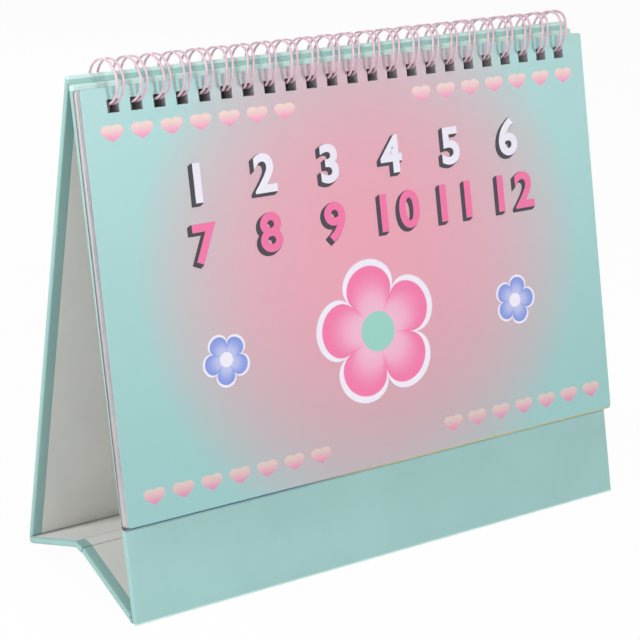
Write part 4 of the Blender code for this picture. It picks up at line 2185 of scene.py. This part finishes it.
@dataclass
class MonthNumbers:
    """Plain day numbers on the month leaves, and each month's own number in its head.

    Attributes:
        day_height: The height of a day's digits.
        day_margin: From a day's upper left corner to its number.
        head_height: The height of the month's digits.
        head_foot: The foot of the month's number, from the leaf's top edge down.
        weight: How much the strokes are thickened.
        ink_height: The thickness of the ink.
        resolution: How many steps a curve of a digit has.
        year: The year whose weeks the leaves follow.
    """

    day_height: float = 0.0038
    day_margin: float = 0.0024
    head_height: float = 0.0115
    head_foot: float = 0.028
    weight: float = 0.01
    ink_height: float = 0.000008
    resolution: int = 2
    year: int = 2026

    def build(self, finishes: Finishes) -> None:
        """Prints every month leaf.

        Args:
            finishes: The object's materials.
        """
        digits = Digits(self.weight, self.ink_height, self.resolution)
        for month in range(1, MONTHS + 1):
            mesh = bmesh.new()
            level = STACK_FRONT - month * LEAF_PITCH + self.ink_height
            left = -DAY_GRID.half_width
            digits.write(mesh, month, self.head_height, left + self.head_height, self.head_foot, level)
            weeks = calendar.Calendar(calendar.SUNDAY).monthdayscalendar(self.year, month)
            for row, week in enumerate(weeks):
                for column, day in enumerate(week):
                    if not day:
                        continue
                    u = left + column * DAY_GRID.column + self.day_margin + self.day_height / 2
                    v = DAY_GRID.top + row * DAY_GRID.row + self.day_margin + self.day_height
                    digits.write(mesh, day, self.day_height, u, v, level)
            name = f"month_numbers_{month:02d}"
            printed = make_object(name, mesh, [finishes.inks[Ink.SLATE]], FRONT)
            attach(printed, f"month_sheet_{month:02d}_leaf")
            LOG.info("print %s", name)


@dataclass(frozen=True)
class Lamp:
    """One soft lamp that looks at the object.

    Attributes:
        name: Its name.
        place: Where it hangs.
        size: The side of its square face.
        power: Its power in watts.
    """

    name: str
    place: Place
    size: float
    power: float

    def hang(self, aim: Vector) -> None:
        """Hangs the lamp.

        Args:
            aim: The point that it looks at.
        """
        light = bpy.data.lights.new(self.name, "AREA")
        light.size = self.size
        light.energy = self.power
        lamp = bpy.data.objects.new(self.name, light)
        place = Vector(self.place)
        turn = (aim - place).to_track_quat("-Z", "Y")
        lamp.matrix_world = Matrix.Translation(place) @ turn.to_matrix().to_4x4()
        bpy.context.scene.collection.objects.link(lamp)


@dataclass
class Studio:
    """The floor, the light and the camera.

    Attributes:
        image_size: The side of the square picture, in pixels.
        focal_pixels: The camera's focal length, in pixels.
        centre_y_pixels: Where the camera's axis meets the picture, from its top edge, in pixels.
        azimuth: The camera's turn from the front towards +X, in degrees.
        elevation: The camera's height over the horizon, in degrees.
        roll: The camera's turn about its own axis, in degrees.
        distance: From the target to the camera.
        target: The point that the camera looks at.
        sensor_width: The width of the camera's sensor, in millimetres.
        nearest: The nearest distance that the camera sees.
        floor_half: Half the side of the floor.
        floor_level: How light the floor is, and how rough.
        floor_white: How much of pure white the camera sees on the floor.
        world_light: The strength of the light from all sides.
        lamps: The lamps.
        lamp_aim: The point that the lamps look at.
    """

    image_size: int = 640
    focal_pixels: float = 1960.66
    centre_y_pixels: float = 270.0
    azimuth: float = -34.492
    elevation: float = 16.826
    roll: float = 0.819
    distance: float = 0.69928
    target: Place = (-0.005842, 0.0007, 0.096173)
    sensor_width: float = 36.0
    nearest: float = 0.01
    floor_half: float = 6.0
    floor_level: float = 0.9
    floor_white: float = 0.96
    world_light: float = 0.18
    lamps: tuple[Lamp, ...] = (
        Lamp("key", (-0.05, -0.9, 0.56), 0.16, 4.4),
        Lamp("right fill", (0.5, -0.55, 0.08), 0.4, 0.36),
        Lamp("top fill", (0.0, -0.1, 0.95), 0.5, 1.5),
        Lamp("side fill", (-0.8, -0.32, 0.16), 0.4, 1.0),
        Lamp("base fill", (-0.65, 0.05, 0.4), 0.3, 2.4),
        Lamp("back fill", (0.25, 0.9, 0.5), 0.4, 2.4),
    )
    lamp_aim: Place = (0.0, 0.0, 0.09)

    def build_camera(self) -> None:
        """Places the camera at the photograph's viewing angle."""
        azimuth = math.radians(self.azimuth)
        elevation = math.radians(self.elevation)
        back = Vector(
            (
                math.sin(azimuth) * math.cos(elevation),
                -math.cos(azimuth) * math.cos(elevation),
                math.sin(elevation),
            )
        )
        right = Vector((math.cos(azimuth), math.sin(azimuth), 0.0))
        up = back.cross(right)
        turn = Matrix.Rotation(math.radians(self.roll), 3, back)
        right = turn @ right
        up = turn @ up
        lens = bpy.data.cameras.new("camera")
        lens.sensor_width = self.sensor_width
        lens.lens = self.focal_pixels / self.image_size * lens.sensor_width
        lens.shift_y = (self.centre_y_pixels - self.image_size / 2) / self.image_size
        lens.clip_start = self.nearest
        camera = bpy.data.objects.new("camera", lens)
        place = Matrix((right, up, back)).transposed().to_4x4()
        place.translation = Vector(self.target) + back * self.distance
        camera.matrix_world = place
        bpy.context.scene.collection.objects.link(camera)
        bpy.context.scene.camera = camera

    def build_floor(self) -> None:
        """Lays a pale floor that looks white to the camera and keeps a soft shadow."""
        mesh = bmesh.new()
        bmesh.ops.create_grid(mesh, x_segments=1, y_segments=1, size=self.floor_half)
        made, graph, shader = start_material("floor")
        level = self.floor_level
        graph.feed(shader.inputs["Base Color"], (level, level, level))
        graph.feed(shader.inputs["Roughness"], level)
        glow = graph.add("ShaderNodeEmission")
        graph.feed(glow.inputs["Color"], (1.0, 1.0, 1.0))
        share = graph.math("MULTIPLY", self.seen_rays(graph), self.floor_white)
        graph.show(share, shader, glow, "Material Output")
        floor = make_object("floor", mesh, [made])

    def seen_rays(self, graph: Graph) -> Socket:
        """Tells rays that show the backdrop from rays that light the object.

        Args:
            graph: The graph of the floor or the world.

        Returns:
            One for rays from the camera, also by way of gloss or glass, and zero for others.
        """
        path = graph.add("ShaderNodeLightPath")
        seen = graph.math("MAXIMUM", path.outputs["Is Camera Ray"], path.outputs["Is Glossy Ray"])
        return graph.math("MAXIMUM", seen, path.outputs["Is Transmission Ray"])

    def build_world(self) -> None:
        """Fills the studio with soft light and shows white behind the object."""
        world = bpy.data.worlds.new("studio")
        world.use_nodes = True
        bpy.context.scene.world = world
        graph = Graph(world.node_tree)
        fill = world.node_tree.nodes["Background"]
        graph.feed(fill.inputs["Color"], (1.0, 1.0, 1.0))
        graph.feed(fill.inputs["Strength"], self.world_light)
        white = graph.add("ShaderNodeBackground")
        graph.feed(white.inputs["Strength"], 1.0)
        graph.show(self.seen_rays(graph), fill, white, "World Output")

    def build(self) -> None:
        """Sets up the whole studio."""
        bpy.context.scene.view_settings.view_transform = "Standard"
        self.build_camera()
        self.build_floor()
        self.build_world()
        for lamp in self.lamps:
            lamp.hang(Vector(self.lamp_aim))


def main() -> None:
    """Builds the studio and dresses the calendar."""
    logging.basicConfig(level=logging.INFO, format="%(name)s: %(message)s")
    Studio().build()
    finishes = Finishes()
    Case().build(finishes)
    BindingWire().build(finishes)
    LeafStack().build(finishes)
    CoverNumbers().build(finishes)
    MonthNumbers().build(finishes)


if __name__ == "__main__":
    main()
